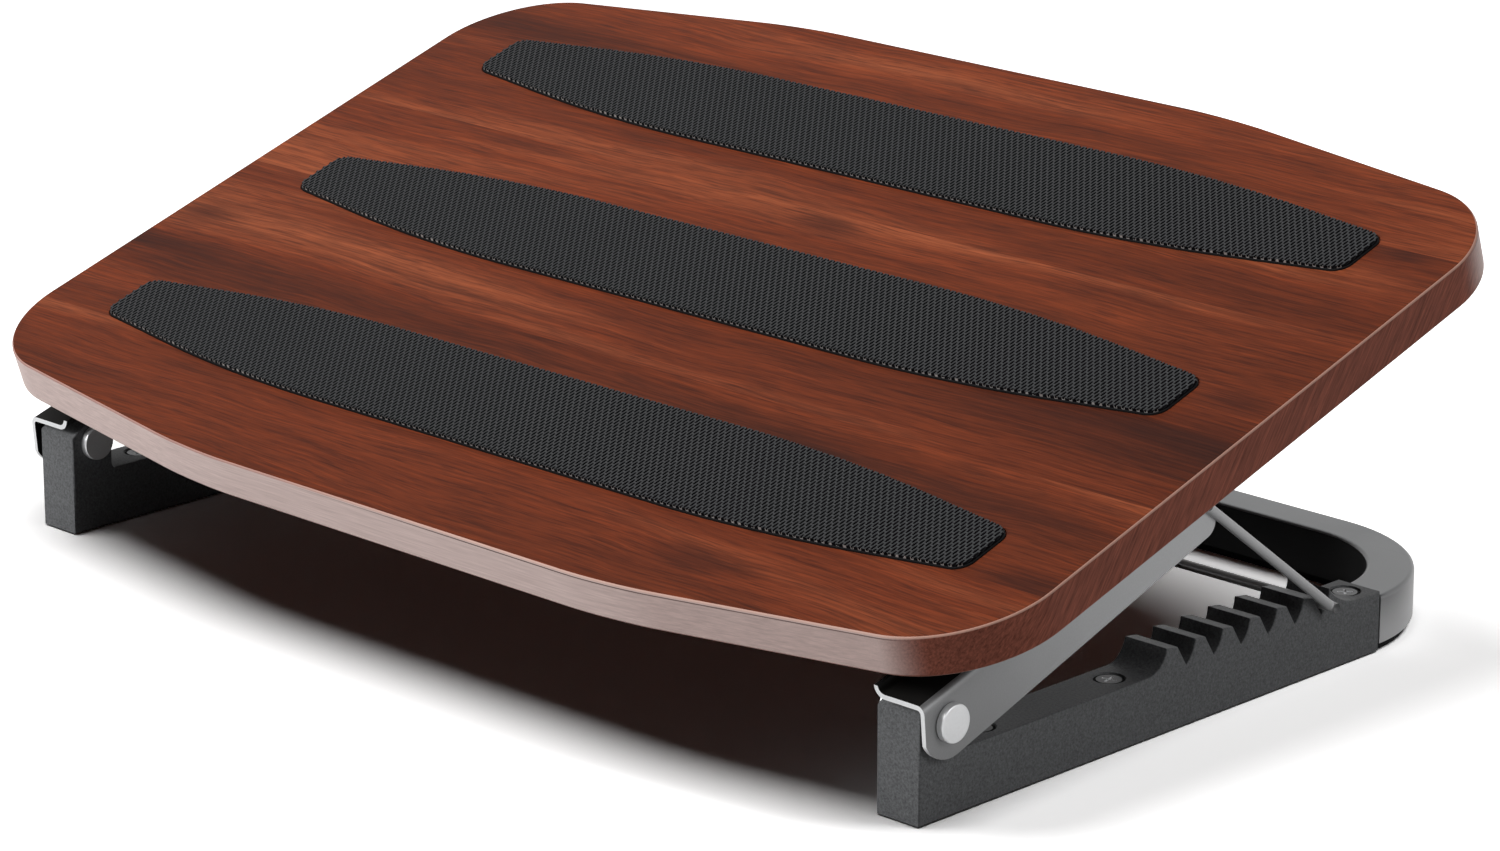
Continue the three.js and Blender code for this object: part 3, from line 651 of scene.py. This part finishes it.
def wood_band():
    """Edge band: short slanted strokes at the sides, long faint fibres along the front and back, a painted pale sheen
    on the front and back faces, and a painted highlight line along the rounded upper and lower edges.
    """
    board = settings("board")
    finish = Finish("Wood edge band", 0.4, specular_ior_level=0.05)
    place = finish.slope_place()
    x, _, z = finish.axes(place)
    side = finish.span(finish.maths("ABSOLUTE", x), board.width / 2 - 1.2 * board.corner_radius,
                       board.width / 2 - 0.4 * board.corner_radius)
    facing = finish.facing((-0.5, -0.866, 0))
    front = finish.plus(finish.span(facing, 0.42, 0.86), finish.span(facing, -0.6, -0.95), clamp=True)
    slanted = finish.stretched(place, (1, 1, 1), rotation=(0.9, 0, 0))
    strokes = finish.noise(finish.stretched(slanted, (1500, 1500, 90)), roughness=0.65)
    fibres = finish.noise(finish.stretched(place, (45, 900, 1500)), roughness=0.65)
    figure = finish.add("ShaderNodeMix", {0: side, 2: fibres, 3: strokes}, data_type="FLOAT")[0]
    tone = finish.ramp(figure, (0.3, (0.55, 0.52, 0.5)), (0.5, 0.96), (0.7, (1.4, 1.4, 1.38)))
    faint = finish.ramp(figure, (0.3, (0.86, 0.84, 0.84)), (0.7, 1.1))
    # Painted sheen: the front and back faces take the pale front band colour
    tone = finish.blend(front, finish.toned(board.band, tone), finish.toned(board.band_front_sheen, faint))
    below = finish.minus(board.top, z)
    left = finish.span(x, 0.1 * board.width, -0.2 * board.width)
    seam = finish.times(finish.maths("COMPARE", below, board.seam, 0.22 * MM), front)
    tone = finish.blend(finish.times(seam, finish.minus(0.8, left, clamp=True)), tone, board.dark)
    # Painted highlight: a light line along the rounded upper and lower edges, in the rim colour towards the left
    # front
    rim = finish.plus(finish.span(below, board.seam - 0.35 * MM, board.seam - 0.55 * MM),
                      finish.span(z, board.underside + 0.5 * MM, board.underside + 0.3 * MM), clamp=True)
    rim_highlight_tone = finish.blend(finish.times(left, front), board.rim, board.band)
    tone = finish.blend(finish.times(rim, 0.7), tone, rim_highlight_tone)
    finish.drive(base_color=tone, roughness=finish.span(figure, 0.2, 0.8, 0.34, 0.48))
    finish.bump(figure, 0.25, 0.04 * MM)
    return finish


def wood_underside():
    """Plain darker balancing sheet on the underside."""
    board = settings("board")
    finish = Finish("Wood underside", 0.55, specular_ior_level=0.05)
    figure = finish.group(wood_figure(), vector=finish.slope_place(), waviness=0.006)
    tone = finish.ramp(figure["Growth"], (0.3, [0.25 * c for c in board.mid]), (0.7, [0.45 * c for c in board.mid]))
    finish.drive(base_color=finish.toned(tone, finish.ramp(figure["Fibre"], (0.3, 0.75), (0.7, 1.15)), 0.5))
    finish.bump(figure["Fibre"], 0.2, 0.05 * MM)
    return finish


def pad_ribs():
    """Rubber of the ribs, with painted shade down in the holes and painted highlights on the rib ends along the
    outline.
    """
    board, pads = settings("board"), settings("pads")
    finish = Finish("Pad ribs", 0.62, specular_ior_level=0.02)
    outline = finish.add("ShaderNodeAttribute", {}, attribute_name="outline")["Fac"]
    grain = finish.group(fine_grain(), vector=finish.place, scale=2400.0, contrast=0.5, patches=0.12)
    height = finish.axes(finish.slope_place())[2]
    top = board.top + pads.proud
    # Painted shade: the rubber darkens to the hole colour down in the holes
    above_hole_shade = finish.span(height, top - 0.3 * pads.hole_depth, top - 0.05 * pads.hole_depth)
    tone = finish.blend(above_hole_shade, pads.hole_shade, pads.rubber)
    # Painted highlight on the rib ends along the outline, with painted shade between them
    facing = finish.facing(SLOPE.to_3x3() @ Vector((0, 0, 1)))
    wave = finish.maths("SINE", finish.times(finish.axes(finish.place)[0], math.pi / pads.column))
    high = finish.span(height, top - 1.2 * MM, top - 0.8 * MM)
    bead_highlights = finish.blend(finish.times(finish.span(wave, 0.0, 0.5), high), pads.hole_shade, pads.bead_highlight)
    tone = finish.blend(finish.times(finish.span(facing, 0.4, 0.2), outline), tone, bead_highlights)
    finish.drive(base_color=finish.toned(tone, grain["Tone"]))
    finish.bump(grain["Height"], 0.3, 0.02 * MM)
    return finish


# Pieces


def lens_plate(name, width, depth, end_depth, knee, knee_radius, corner_radius, middle, low, high,
               corner_facets=20, knee_facets=8):
    """A plate that is straight in the middle of its long edges and drawn in towards both ends."""
    plate = primitive(name, bpy.ops.mesh.primitive_plane_add, (width, depth, 1), size=1)
    slope = Vector((width / 2 - knee, (depth - end_depth) / 2))
    turn = math.atan2(slope.y, slope.x)
    knee_run = knee_radius * math.tan(turn / 2)
    corner_run = corner_radius * math.tan((QUARTER - turn) / 2)
    with editing(plate):
        for x in (-knee, knee):
            bpy.ops.mesh.select_all(action="SELECT")
            bpy.ops.mesh.bisect(plane_co=(x, 0, 0), plane_no=(1, 0, 0))
        pick("VERT", lambda v: abs(v.co.x) > knee + MM)
        resize((1, end_depth / depth, 1))
        pick("EDGE", lambda e: e.is_manifold)
        bpy.ops.mesh.dissolve_edges(use_verts=False)
        for test, run, segments in ((lambda v: abs(v.co.x) > knee + MM, corner_run, corner_facets),
                                    (lambda v: abs(abs(v.co.x) - knee) < MM, knee_run, knee_facets)):
            pick("VERT", test)
            bpy.ops.mesh.bevel(offset=run, offset_type="OFFSET", segments=segments, profile=0.5, affect="VERTICES",
                               clamp_overlap=False)
        bpy.ops.mesh.select_mode(type="FACE")
        bpy.ops.mesh.select_all(action="SELECT")
        shift((0, middle, low))
        extrude((0, 0, high - low))
        face_outwards()
    return plate


def pad_plate(name, grown, low, high, middle=0.0, **fineness):
    pads = settings("pads")
    return lens_plate(
        name, pads.length + 2 * grown, pads.width + 2 * grown, pads.end_width + 2 * grown, pads.knee,
        pads.knee_radius, pads.corner_radius + grown, middle, low, high, **fineness,
    )


def pad_middles():
    """The middle of each pad, along the slope from the hinge line."""
    board, pads = settings("board"), settings("pads")
    return {name: board.middle + pads.row_shift + row * pads.pitch for name, row in PAD_ROWS.items()}


class FOOTREST_OT_board(Operator):
    """Model the wooden board with its rounded edges and the recesses for the pads"""

    bl_idname = "footrest.board"
    bl_label = "Wooden board"

    def execute(self, context):
        board, pads = settings("board"), settings("pads")
        piece = lens_plate(
            "wooden_board", board.width, board.depth, board.end_depth, board.knee, board.knee_radius,
            board.corner_radius, board.middle, board.underside, board.top,
        )
        round_edges(piece, board.edge_round, segments=4)
        for middle in pad_middles().values():
            combine(piece, pad_plate(
                "recess", pads.gap, board.top - pads.sink, board.top + pads.sink, middle, corner_facets=6,
            ))
        with editing(piece):
            pick("EDGE", lambda e: (
                e.calc_face_angle(0) > 1 and all(v.co.z > board.top - 0.05 * MM for v in e.verts)
            ))
            bevel(board.recess_round, 2)
        reach = pads.pitch + 0.5 * pads.width + 2 * pads.row_shift
        face, band, underside = range(3)
        finishes = [wood_face(), wood_band(), wood_underside()]
        for finish in finishes:
            piece.data.materials.append(finish.material)
        for polygon in piece.data.polygons:
            x, y, z = polygon.center
            in_recess = (z > board.top - 1.2 * pads.sink and abs(x) < pads.length / 2 + MM
                         and abs(y - board.middle) < reach)
            if polygon.normal.z > LEVEL or in_recess:
                polygon.material_index = face
            else:
                polygon.material_index = underside if polygon.normal.z < -LEVEL else band
        settle(piece, SLOPE)
        smooth(piece, 30)
        hand_over(piece, "platform", "foot_board")
        return {"FINISHED"}


RIB_SHARE = 0.14            # of a column: the rib's width beside a hole
BRIM_SHARE = 0.12           # of the holes' depth: how far their brims slope down
BRIM_SCALE = (0.68, 0.95, 1)  # the brims' lower edge to their upper one
HOLE_SCALE = (0.8, 0.8, 1)  # the holes' floor to their brim
LIFT_SHARE = 0.25           # of the holes' depth: the rise of their floor from front to middle, and on to the back


def rib_net(top):
    """The raised net of ribs: one tile with a long hole, repeated in rows that are shifted by half a hole."""
    pads = settings("pads")
    column, pitch, depth = pads.column, pads.hole_pitch, pads.hole_depth
    net = primitive("net", bpy.ops.mesh.primitive_plane_add, (column, pitch, 1), size=1)
    with editing(net):
        pick("EDGE", lambda e: abs(e.verts[0].co.x - e.verts[1].co.x) < 0.1 * column)
        bpy.ops.mesh.subdivide(number_cuts=1)
        pick("FACE", lambda f: True)
        bpy.ops.mesh.inset(thickness=RIB_SHARE * column, use_even_offset=True)
        shift((0, 0, -BRIM_SHARE * depth))
        pick("VERT", lambda v: v.co.z < 0 and abs(v.co.y) > 0.1 * pitch)
        resize(BRIM_SCALE)
        pick("FACE", lambda f: (
            abs(f.calc_center_median().x) < 0.1 * column and f.calc_center_median().z < -0.1 * depth
        ))
        bpy.ops.mesh.dissolve_faces()
        extrude((0, 0, (BRIM_SHARE - 1) * depth), HOLE_SCALE)
        for start in (-0.1 * pitch, 0.1 * pitch):
            pick("VERT", lambda v: v.co.z < -0.5 * depth and v.co.y > start)
            shift((0, 0, LIFT_SHARE * depth))
    columns = int(pads.length / column / 2) + 2
    rows = int(pads.width / pitch) + 3
    repeat(net, rows, (0, pitch, 0))
    twin = copy_of(net, "shifted column")
    twin.data.transform(Matrix.Translation((column, pitch / 2, 0)))
    select_only(net, twin)
    bpy.ops.object.join()
    repeat(net, columns, (2 * column, 0, 0))
    net.data.transform(Matrix.Translation((-(columns - 0.5) * column, -(rows - 0.5) * pitch / 2, top)))
    return net


def trim_to(net, plate):
    """Cuts a net to the outline of a flat plate, closes it down to the plate's underside and marks its walls."""
    top_face = max(plate.data.polygons, key=lambda polygon: polygon.center.z)
    corners = [plate.data.vertices[index].co.copy() for index in top_face.vertices]
    bottom = min(vertex.co.z for vertex in plate.data.vertices)
    bpy.data.objects.remove(plate)
    with editing(net):
        bpy.ops.mesh.remove_doubles(threshold=SAME)
        for corner, after in zip(corners, corners[1:] + corners[:1]):
            along = (after - corner).normalized()
            bpy.ops.mesh.select_all(action="SELECT")
            bpy.ops.mesh.bisect(plane_co=corner, plane_no=(along.y, -along.x, 0), clear_outer=True, threshold=CUT)
        pick("EDGE", lambda e: e.is_boundary)
        bpy.ops.mesh.extrude_edges_move(TRANSFORM_OT_translate={"value": (0, 0, -MM)})
        resize((1, 1, 0), (0, 0, bottom))
        bpy.ops.mesh.edge_face_add()
        face_outwards()
    outline = net.data.attributes.new("outline", "FLOAT", "FACE")
    for polygon in net.data.polygons:
        lowest = min(net.data.vertices[index].co.z for index in polygon.vertices)
        outline.data[polygon.index].value = abs(polygon.normal.z) < UPRIGHT and lowest < bottom + 2 * SAME


class FOOTREST_OT_pads(Operator):
    """Model one rubber pad with its net of ribs and copy it to the three places on the board"""

    bl_idname = "footrest.pads"
    bl_label = "Rubber pads"

    def execute(self, context):
        board, pads = settings("board"), settings("pads")
        high = board.top + pads.ground
        pad = pad_plate("pad", 0, board.top - pads.sink + pads.gap, high)
        round_edges(pad, pads.edge_round, segments=3)
        smooth(pad, 40, weighted=False)
        net = rib_net(board.top + pads.proud)
        trim_to(net, pad_plate("trim", -pads.rim, board.top, high, corner_facets=5, knee_facets=4))
        for finish, piece in ((coat("foot"), pad), (pad_ribs(), net)):
            piece.data.materials.append(finish.material)
        smooth(net, 80, weighted=False)
        select_only(pad, net)
        bpy.ops.object.join()
        for name, middle in pad_middles().items():
            piece = copy_of(pad, f"rubber_pad_{name}")
            settle(piece, SLOPE @ Matrix.Translation((0, middle, 0)))
            hand_over(piece, "platform", f"grip_pad_{name}")
        bpy.data.objects.remove(pad)
        return {"FINISHED"}


class FOOTREST_OT_rails(Operator):
    """Dress the two toothed rails and leave their feet and washers in place"""

    bl_idname = "footrest.rails"
    bl_label = "Toothed rails"

    def execute(self, context):
        for side in SIDES:
            piece = dressed_copy(f"rack_rail_{side}", f"toothed_rail_{side}")
            round_edges(piece, settings("metal").rail_edge)
            smooth(piece, 50)
            hand_over(piece, "base", f"rack_rail_{side}", [coat("plastic")])
        return {"FINISHED"}


# Notch in the bracket's web in front, under the board
NOTCH_MIDDLE = 168 * MM     # from the object's middle to the side
NOTCH_WIDTH = 38 * MM
NOTCH_FRONT = 16 * MM       # from the hinge line forward
NOTCH_RISE = 6.1 * MM       # from the shelf up to the notch's middle
NOTCH_HEIGHT = 8 * MM
NOTCH_ROUND = 3 * MM
SHELF_LEAN = math.radians(12.6)  # of the shelf's front edge, from square


class FOOTREST_OT_brackets(Operator):
    """Dress the two sheet metal brackets with broken edges, a notch and a leaning front edge"""

    bl_idname = "footrest.brackets"
    bl_label = "Hinge brackets"

    def execute(self, context):
        metal = settings("metal")
        for side, sign in SIDES.items():
            piece = dressed_copy(f"board_bracket_{side}", f"hinge_bracket_{side}")
            middle = metal.shelf + NOTCH_RISE
            cutter = primitive("notch", bpy.ops.mesh.primitive_cube_add,
                               (NOTCH_WIDTH, metal.web_start + NOTCH_FRONT, NOTCH_HEIGHT), size=1)
            with editing(cutter):
                shift((sign * NOTCH_MIDDLE, (metal.web_start - NOTCH_FRONT) / 2, middle))
                pick("EDGE", lambda e: all(v.co.y > 0 and v.co.z < middle for v in e.verts))
                bevel(NOTCH_ROUND, 5)
            cutter.data.transform(SLOPE)
            combine(piece, cutter)
            front = Vector((0, -math.cos(SHELF_LEAN), math.sin(SHELF_LEAN)))
            with editing(piece):
                bpy.ops.mesh.bisect(plane_co=SLOPE @ Vector((0, -metal.shelf_front, metal.shelf)),
                                    plane_no=SLOPE.to_3x3() @ front, use_fill=True, clear_outer=True, threshold=CUT)
                face_outwards()
            round_edges(piece, metal.chamfer)
            smooth(piece, 40)
            self.mark_edges(piece, metal.sheet_limit)
            hand_over(piece, "platform", f"board_bracket_{side}",
                      [coat("bracket"), coat("cut_edge"), coat("bracket_inside")])
        return {"FINISHED"}

    @staticmethod
    def mark_edges(piece, limit):
        """Painted highlight of bare metal where a face looks forward with a lot of metal behind it, and painted black
        shade on the inner side.
        """
        outside, bare_highlight, inside = range(3)
        bpy.context.view_layer.update()
        mesh = piece.data
        mesh.calc_loop_triangles()
        flange = max(abs(vertex.co.x) for vertex in mesh.vertices) - 0.6 * limit
        for triangle in sorted(mesh.loop_triangles, key=lambda triangle: triangle.area):
            polygon = mesh.polygons[triangle.polygon_index]
            centre = sum((mesh.vertices[index].co for index in triangle.vertices), Vector()) / 3
            start = centre - 2 * SAME * polygon.normal
            hit, place = piece.ray_cast(start, -polygon.normal)[:2]
            forward = (UNSLOPE.to_3x3() @ polygon.normal).y < -0.3
            # Painted highlight: cut-edge faces that look forward take the bright coat
            if forward and hit and (place - start).length > limit:
                polygon.material_index = bare_highlight
            else:
                # Painted shade: faces inward of the flange take the black inner coat
                polygon.material_index = outside if abs(start.x) > flange else inside


class FOOTREST_OT_channel(Operator):
    """Dress the rear channel, with painted black shade on its inner walls"""

    bl_idname = "footrest.channel"
    bl_label = "Rear channel"

    def execute(self, context):
        piece = dressed_copy("rear_frame", "rear_channel")
        smooth(piece, 40)
        hand_over(piece, "base", "rear_frame", [coat("channel"), coat("channel_inside")])
        low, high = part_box("rear_frame")
        heart = Vector((0, (low.y + high.y) / 2, 0))
        # Painted shade: the inward-facing upright walls take the black inner coat
        for polygon in piece.data.polygons:
            outwards = polygon.center - heart
            outwards.z = 0
            if abs(polygon.normal.z) < UPRIGHT and polygon.normal.dot(outwards) < 0:
                polygon.material_index = 1
        return {"FINISHED"}


class FOOTREST_OT_wire(Operator):
    """Bend the prop wire: pins in the brackets, two legs and the rod across"""

    bl_idname = "footrest.wire"
    bl_label = "Prop wire"

    def execute(self, context):
        metal = settings("metal")
        radius, bend = metal.wire_radius, metal.wire_bend
        low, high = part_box("prop_wire")
        pin = JOINTS["prop_swing"]
        leg = Vector((0, high.y - radius, low.z + radius)) - pin
        far = high.x - radius + metal.wire_spread
        end = high.x - radius - metal.wire_pin
        wire = disc("prop_wire_bail", radius, metal.wire_facets, (end, 0, 0), sideways=True)
        with editing(wire):
            extrude((far - bend - end, 0, 0))
            for down, way in ((bend, (0, 0, 2 * bend - leg.length)), (leg.length - bend, (bend - far, 0, 0))):
                bpy.ops.mesh.spin(steps=8, angle=QUARTER, center=(far - bend, 0, -down), axis=(0, 1, 0))
                extrude(way)
            bpy.ops.mesh.delete(type="ONLY_FACE")
            pick("EDGE", lambda e: all(abs(v.co.x - end) < SAME and abs(v.co.z) < 2 * radius for v in e.verts))
            bevel(metal.wire_round, 2)
        apply_modifier(wire, "MIRROR", use_axis=(True, False, False), use_clip=True, merge_threshold=SAME)
        with editing(wire):
            bpy.ops.mesh.remove_doubles(threshold=WELD)
            face_outwards()
        settle(wire, Matrix.Translation(pin) @ Matrix.Rotation(math.atan2(leg.y, -leg.z), 4, "X"))
        smooth(wire, 50, weighted=False)
        hand_over(wire, "prop", "prop_wire", [coat("wire")])
        return {"FINISHED"}


class FOOTREST_OT_rivets(Operator):
    """Model the two hinge rivets with a rounded head at each end"""

    bl_idname = "footrest.rivets"
    bl_label = "Hinge rivets"

    def execute(self, context):
        metal = settings("metal")
        thick, thin = metal.rivet_thickness, metal.rivet_shank / metal.rivet_head
        for side in SIDES:
            low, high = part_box(f"pivot_rivet_{side}")
            centre = (low + high) / 2
            rivet = disc(f"hinge_rivet_{side}", metal.rivet_head, 48, (low.x, centre.y, centre.z), sideways=True)
            with editing(rivet):
                extrude((thick, 0, 0))
                extrude((0, 0, 0), (1, thin, thin), centre)
                extrude((high.x - low.x - 2 * thick, 0, 0))
                extrude((0, 0, 0), (1, 1 / thin, 1 / thin), centre)
                extrude((thick, 0, 0))
                face_outwards()
                for x in (low.x, high.x):
                    pick("EDGE", lambda e: all(abs(v.co.x - x) < SAME for v in e.verts))
                    bevel(metal.rivet_round, 4)
            smooth(rivet, 50)
            hand_over(rivet, "base", f"pivot_rivet_{side}", [coat("bright")])
        return {"FINISHED"}


CROSS_SHARE = 0.34          # of an arm's length: its width
CROSS_SCALE = (0.55, 0.6, 1)  # the cross at its point


def cross_cutter(arm, depth, top=0.0):
    """A pointed cross that cuts the recess for a screwdriver."""
    cutter = primitive("cross", bpy.ops.mesh.primitive_cube_add, (2 * arm, CROSS_SHARE * arm, 2 * depth), size=1)
    with editing(cutter):
        pick("VERT", lambda v: v.co.z < 0)
        resize(CROSS_SCALE)
    twin = copy_of(cutter, "arm")
    twin.data.transform(Matrix.Rotation(QUARTER, 4, "Z"))
    combine(cutter, twin, "UNION")
    cutter.data.transform(Matrix.Translation((0, 0, top)))
    return cutter


def countersunk_screw(low, high):
    """A countersunk screw with a cross recess, upright, with its head at the top."""
    head, arm = settings("metal").screw_head, settings("metal").screw_cross
    shank, cone, rim, crown, recess = 2 * MM, 2.2 * MM, 0.15 * MM, 0.2 * MM, 0.6 * MM
    screw = disc("screw model", shank, 32, (0, 0, low))
    with editing(screw):
        extrude((0, 0, high - cone - low))
        extrude((0, 0, cone - rim - crown), (head / shank, head / shank, 1))
        extrude((0, 0, rim))
        extrude((0, 0, crown), (0.82, 0.82, 1))
        face_outwards()
    combine(screw, cross_cutter(arm, recess, high))
    smooth(screw)
    # Painted shade: a black ring round the head in the foot rubber's colour; painted highlight: the cross recess in
    # the bright cut-edge colour
    for polygon in screw.data.polygons:
        off = math.hypot(*polygon.center.xy)
        if off > 0.8 * head:
            polygon.material_index = 1
        elif off < arm and high - 2 * MM < polygon.center.z < high - 0.05 * MM:
            polygon.material_index = 2
    return screw


class FOOTREST_OT_deck_screws(Operator):
    """Model one countersunk cross-head screw and copy it to the six places in the rails"""

    bl_idname = "footrest.deck_screws"
    bl_label = "Deck screws"

    def execute(self, context):
        low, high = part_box("rail_screw_right_1")
        model = countersunk_screw(low.z, high.z)
        for side, sign in SIDES.items():
            for number in (1, 2, 3):
                node = f"rail_screw_{side}_{number}"
                low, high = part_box(node)
                x, y, _ = (low + high) / 2
                screw = copy_of(model, f"deck_screw_{side}_{number}")
                turn = Matrix.Rotation(math.radians(22 + 31 * number + 17 * sign), 4, "Z")
                screw.data.transform(Matrix.Translation((x, y, 0)) @ turn)
                hand_over(screw, "base", node, [coat("screw"), coat("foot"), coat("cut_edge")])
        bpy.data.objects.remove(model)
        return {"FINISHED"}


PAN_RISE = 2.2 * MM         # height of the wood screws' heads


def pan_head_screw():
    """A pan-head wood screw with a cross recess, pointing up from the origin at its seat."""
    head, shank, bite, point, arm, recess = 3.7 * MM, 1.8 * MM, 9 * MM, 1.8 * MM, 2.1 * MM, 1.2 * MM
    screw = disc("screw model", head, 32)
    with editing(screw):
        for share, scale in ((0.55, 1), (0.3, 0.86), (0.15, 0.75)):
            extrude((0, 0, -share * PAN_RISE), (scale, scale, 1))
        face_outwards()
        pick("FACE", lambda f: f.calc_center_median().z > -SAME)
        extrude((0, 0, 0), (shank / head, shank / head, 1))
        extrude((0, 0, bite))
        extrude((0, 0, point), (0.1, 0.1, 1))
    cutter = cross_cutter(arm, recess)
    cutter.data.transform(Matrix.Translation((0, 0, -PAN_RISE)) @ Matrix.Rotation(math.pi, 4, "X"))
    combine(screw, cutter)
    smooth(screw)
    return screw


class FOOTREST_OT_wood_screws(Operator):
    """Model one pan-head wood screw and copy it to the eight places under the board"""

    bl_idname = "footrest.wood_screws"
    bl_label = "Wood screws"

    def execute(self, context):
        model = pan_head_screw()
        for side, sign in SIDES.items():
            for number in (1, 2, 3, 4):
                node = f"bracket_screw_{side}_{number}"
                points = [UNSLOPE @ vertex.co for vertex in frame["nodes"][node].data.vertices]
                x, y = (0.5 * (min(p[axis] for p in points) + max(p[axis] for p in points)) for axis in (0, 1))
                seat = min(point.z for point in points) + PAN_RISE
                screw = copy_of(model, f"wood_screw_{side}_{number}")
                turn = Matrix.Rotation(math.radians(50 * number + 20 * sign), 4, "Z")
                screw.data.transform(SLOPE @ Matrix.Translation((x, y, seat)) @ turn)
                hand_over(screw, "platform", node, [coat("bright")])
        bpy.data.objects.remove(model)
        return {"FINISHED"}


class FOOTREST_OT_base_finishes(Operator):
    """Give every CAD node its own material, also the ones that another piece stands for"""

    bl_idname = "footrest.base_finishes"
    bl_label = "Finishes of the frame"

    def execute(self, context):
        coats = {"rubber": "foot", "rail_plastic": "plastic", "bracket_steel": "bracket", "frame_steel": "channel",
                 "bright_steel": "bright", "bar_steel": "bar"}
        for part in frame["record"]["subparts"]:
            kind = part["material_slot"]
            finish = wood_face() if kind == "wood" else coat(coats[kind])
            for slot in frame["nodes"][part["node"]].material_slots:
                slot.material = finish.material
        return {"FINISHED"}


# The floor's tone for the light that it passes on, in a mirror image, and as the camera sees it
FLOOR_PLAIN = (0.4, 0.4, 0.4)
FLOOR_MIRRORED = 1.2
FLOOR_SEEN = 1.9


def floor_finish():
    """White floor: it looks white where light falls on it and keeps the shadow."""
    finish = bpy.data.materials.new("Floor")
    finish.use_nodes = True
    nodes = Nodes(finish.node_tree)
    nodes.tree.nodes.clear()
    seen, camera = nodes.rays()
    white = nodes.span(camera, 0.0, 1.0, FLOOR_MIRRORED, FLOOR_SEEN, "LINEAR")
    plain, bright = (nodes.add("ShaderNodeBsdfDiffuse", {"Color": tone})[0] for tone in (FLOOR_PLAIN, white))
    both = nodes.add("ShaderNodeMixShader", {0: seen, 1: plain, 2: bright})[0]
    nodes.add("ShaderNodeOutputMaterial", {0: both})
    return finish


class FOOTREST_OT_stage(Operator):
    """Lay the floor, set the lights and place the camera"""

    bl_idname = "footrest.stage"
    bl_label = "Floor, light and camera"

    def execute(self, context):
        stage = settings("stage")
        floor = disc("floor", stage.floor / 2, 64)
        floor.data.materials.append(floor_finish())

        context.scene.world = bpy.data.worlds.new("Room")
        context.scene.world.use_nodes = True
        room = Nodes(context.scene.world.node_tree)
        room.tree.nodes.clear()
        seen, _ = room.rays()
        background = room.add("ShaderNodeBackground", {
            "Color": room.blend(seen, stage.world_tint, (1, 1, 1)),
            "Strength": room.span(seen, 0.0, 1.0, stage.world_light, 1.0, "LINEAR"),
        })[0]
        room.add("ShaderNodeOutputWorld", {0: background})

        # The front and side lights leave the floor alone, so that the shadow under the board stays deep, and the
        # floor light, high up on the right, lights only the floor.
        lit, unlit = bpy.data.collections.new("lit floor"), bpy.data.collections.new("unlit floor")
        for group in (lit, unlit):
            group.objects.link(floor)
        unlit.collection_objects[0].light_linking.link_state = "EXCLUDE"
        for name, power, width, place, receivers in (
            ("overhead light", stage.key_light, 1.3, (-0.42, -0.3, 1.75), None),
            ("front light", stage.front_light, 1.2, (-1.2, -2.2, 1.45), unlit),
            ("side light", stage.side_light, 1.2, (2.2, 0.5, 1.3), unlit),
            ("floor light", stage.floor_light, 0.9, (1.0, 0.5, 1.9), lit),
        ):
            lamp = bpy.data.lights.new(name, "AREA")
            lamp.energy = power
            lamp.size = width
            lamp.shape = "DISK"
            holder = linked(name, lamp)
            holder.location = place
            holder.rotation_euler = (Vector((0, 0, 0.05)) - Vector(place)).to_track_quat("-Z", "Y").to_euler()
            holder.light_linking.receiver_collection = receivers

        eye = bpy.data.cameras.new("Camera")
        eye.sensor_width = 36
        eye.lens = stage.lens
        eye.clip_end = 50
        camera = linked("Camera", eye)
        camera.location = stage.place
        camera.rotation_euler = (QUARTER - stage.elevation, 0, stage.azimuth)
        context.scene.camera = camera
        context.scene.view_settings.view_transform = "Standard"
        return {"FINISHED"}


OPERATORS = [
    FOOTREST_OT_stage,
    FOOTREST_OT_board,
    FOOTREST_OT_pads,
    FOOTREST_OT_rails,
    FOOTREST_OT_brackets,
    FOOTREST_OT_channel,
    FOOTREST_OT_wire,
    FOOTREST_OT_rivets,
    FOOTREST_OT_deck_screws,
    FOOTREST_OT_wood_screws,
    FOOTREST_OT_base_finishes,
]


class FOOTREST_PT_panel(Panel):
    """Lists the pieces of the footrest."""

    bl_idname = "FOOTREST_PT_panel"
    bl_label = "Tilting footrest"
    bl_space_type = "VIEW_3D"
    bl_region_type = "UI"
    bl_category = "Footrest"

    def draw(self, context):
        for kind in OPERATORS:
            self.layout.operator(kind.bl_idname)
        for part, kind in SETTINGS.items():
            box = self.layout.box()
            for key in kind.__annotations__:
                box.prop(settings(part), key)


def register():
    for part, kind in SETTINGS.items():
        bpy.utils.register_class(kind)
        setattr(bpy.types.Scene, f"footrest_{part}", PointerProperty(type=kind))
    for kind in OPERATORS + [FOOTREST_PT_panel]:
        bpy.utils.register_class(kind)


def unregister():
    for kind in reversed(OPERATORS + [FOOTREST_PT_panel]):
        bpy.utils.unregister_class(kind)
    for part, kind in SETTINGS.items():
        delattr(bpy.types.Scene, f"footrest_{part}")
        bpy.utils.unregister_class(kind)


def main():
    register()
    for kind in OPERATORS:
        area, action = kind.bl_idname.split(".")
        getattr(getattr(bpy.ops, area), action)()


if __name__ == "__main__":
    main()
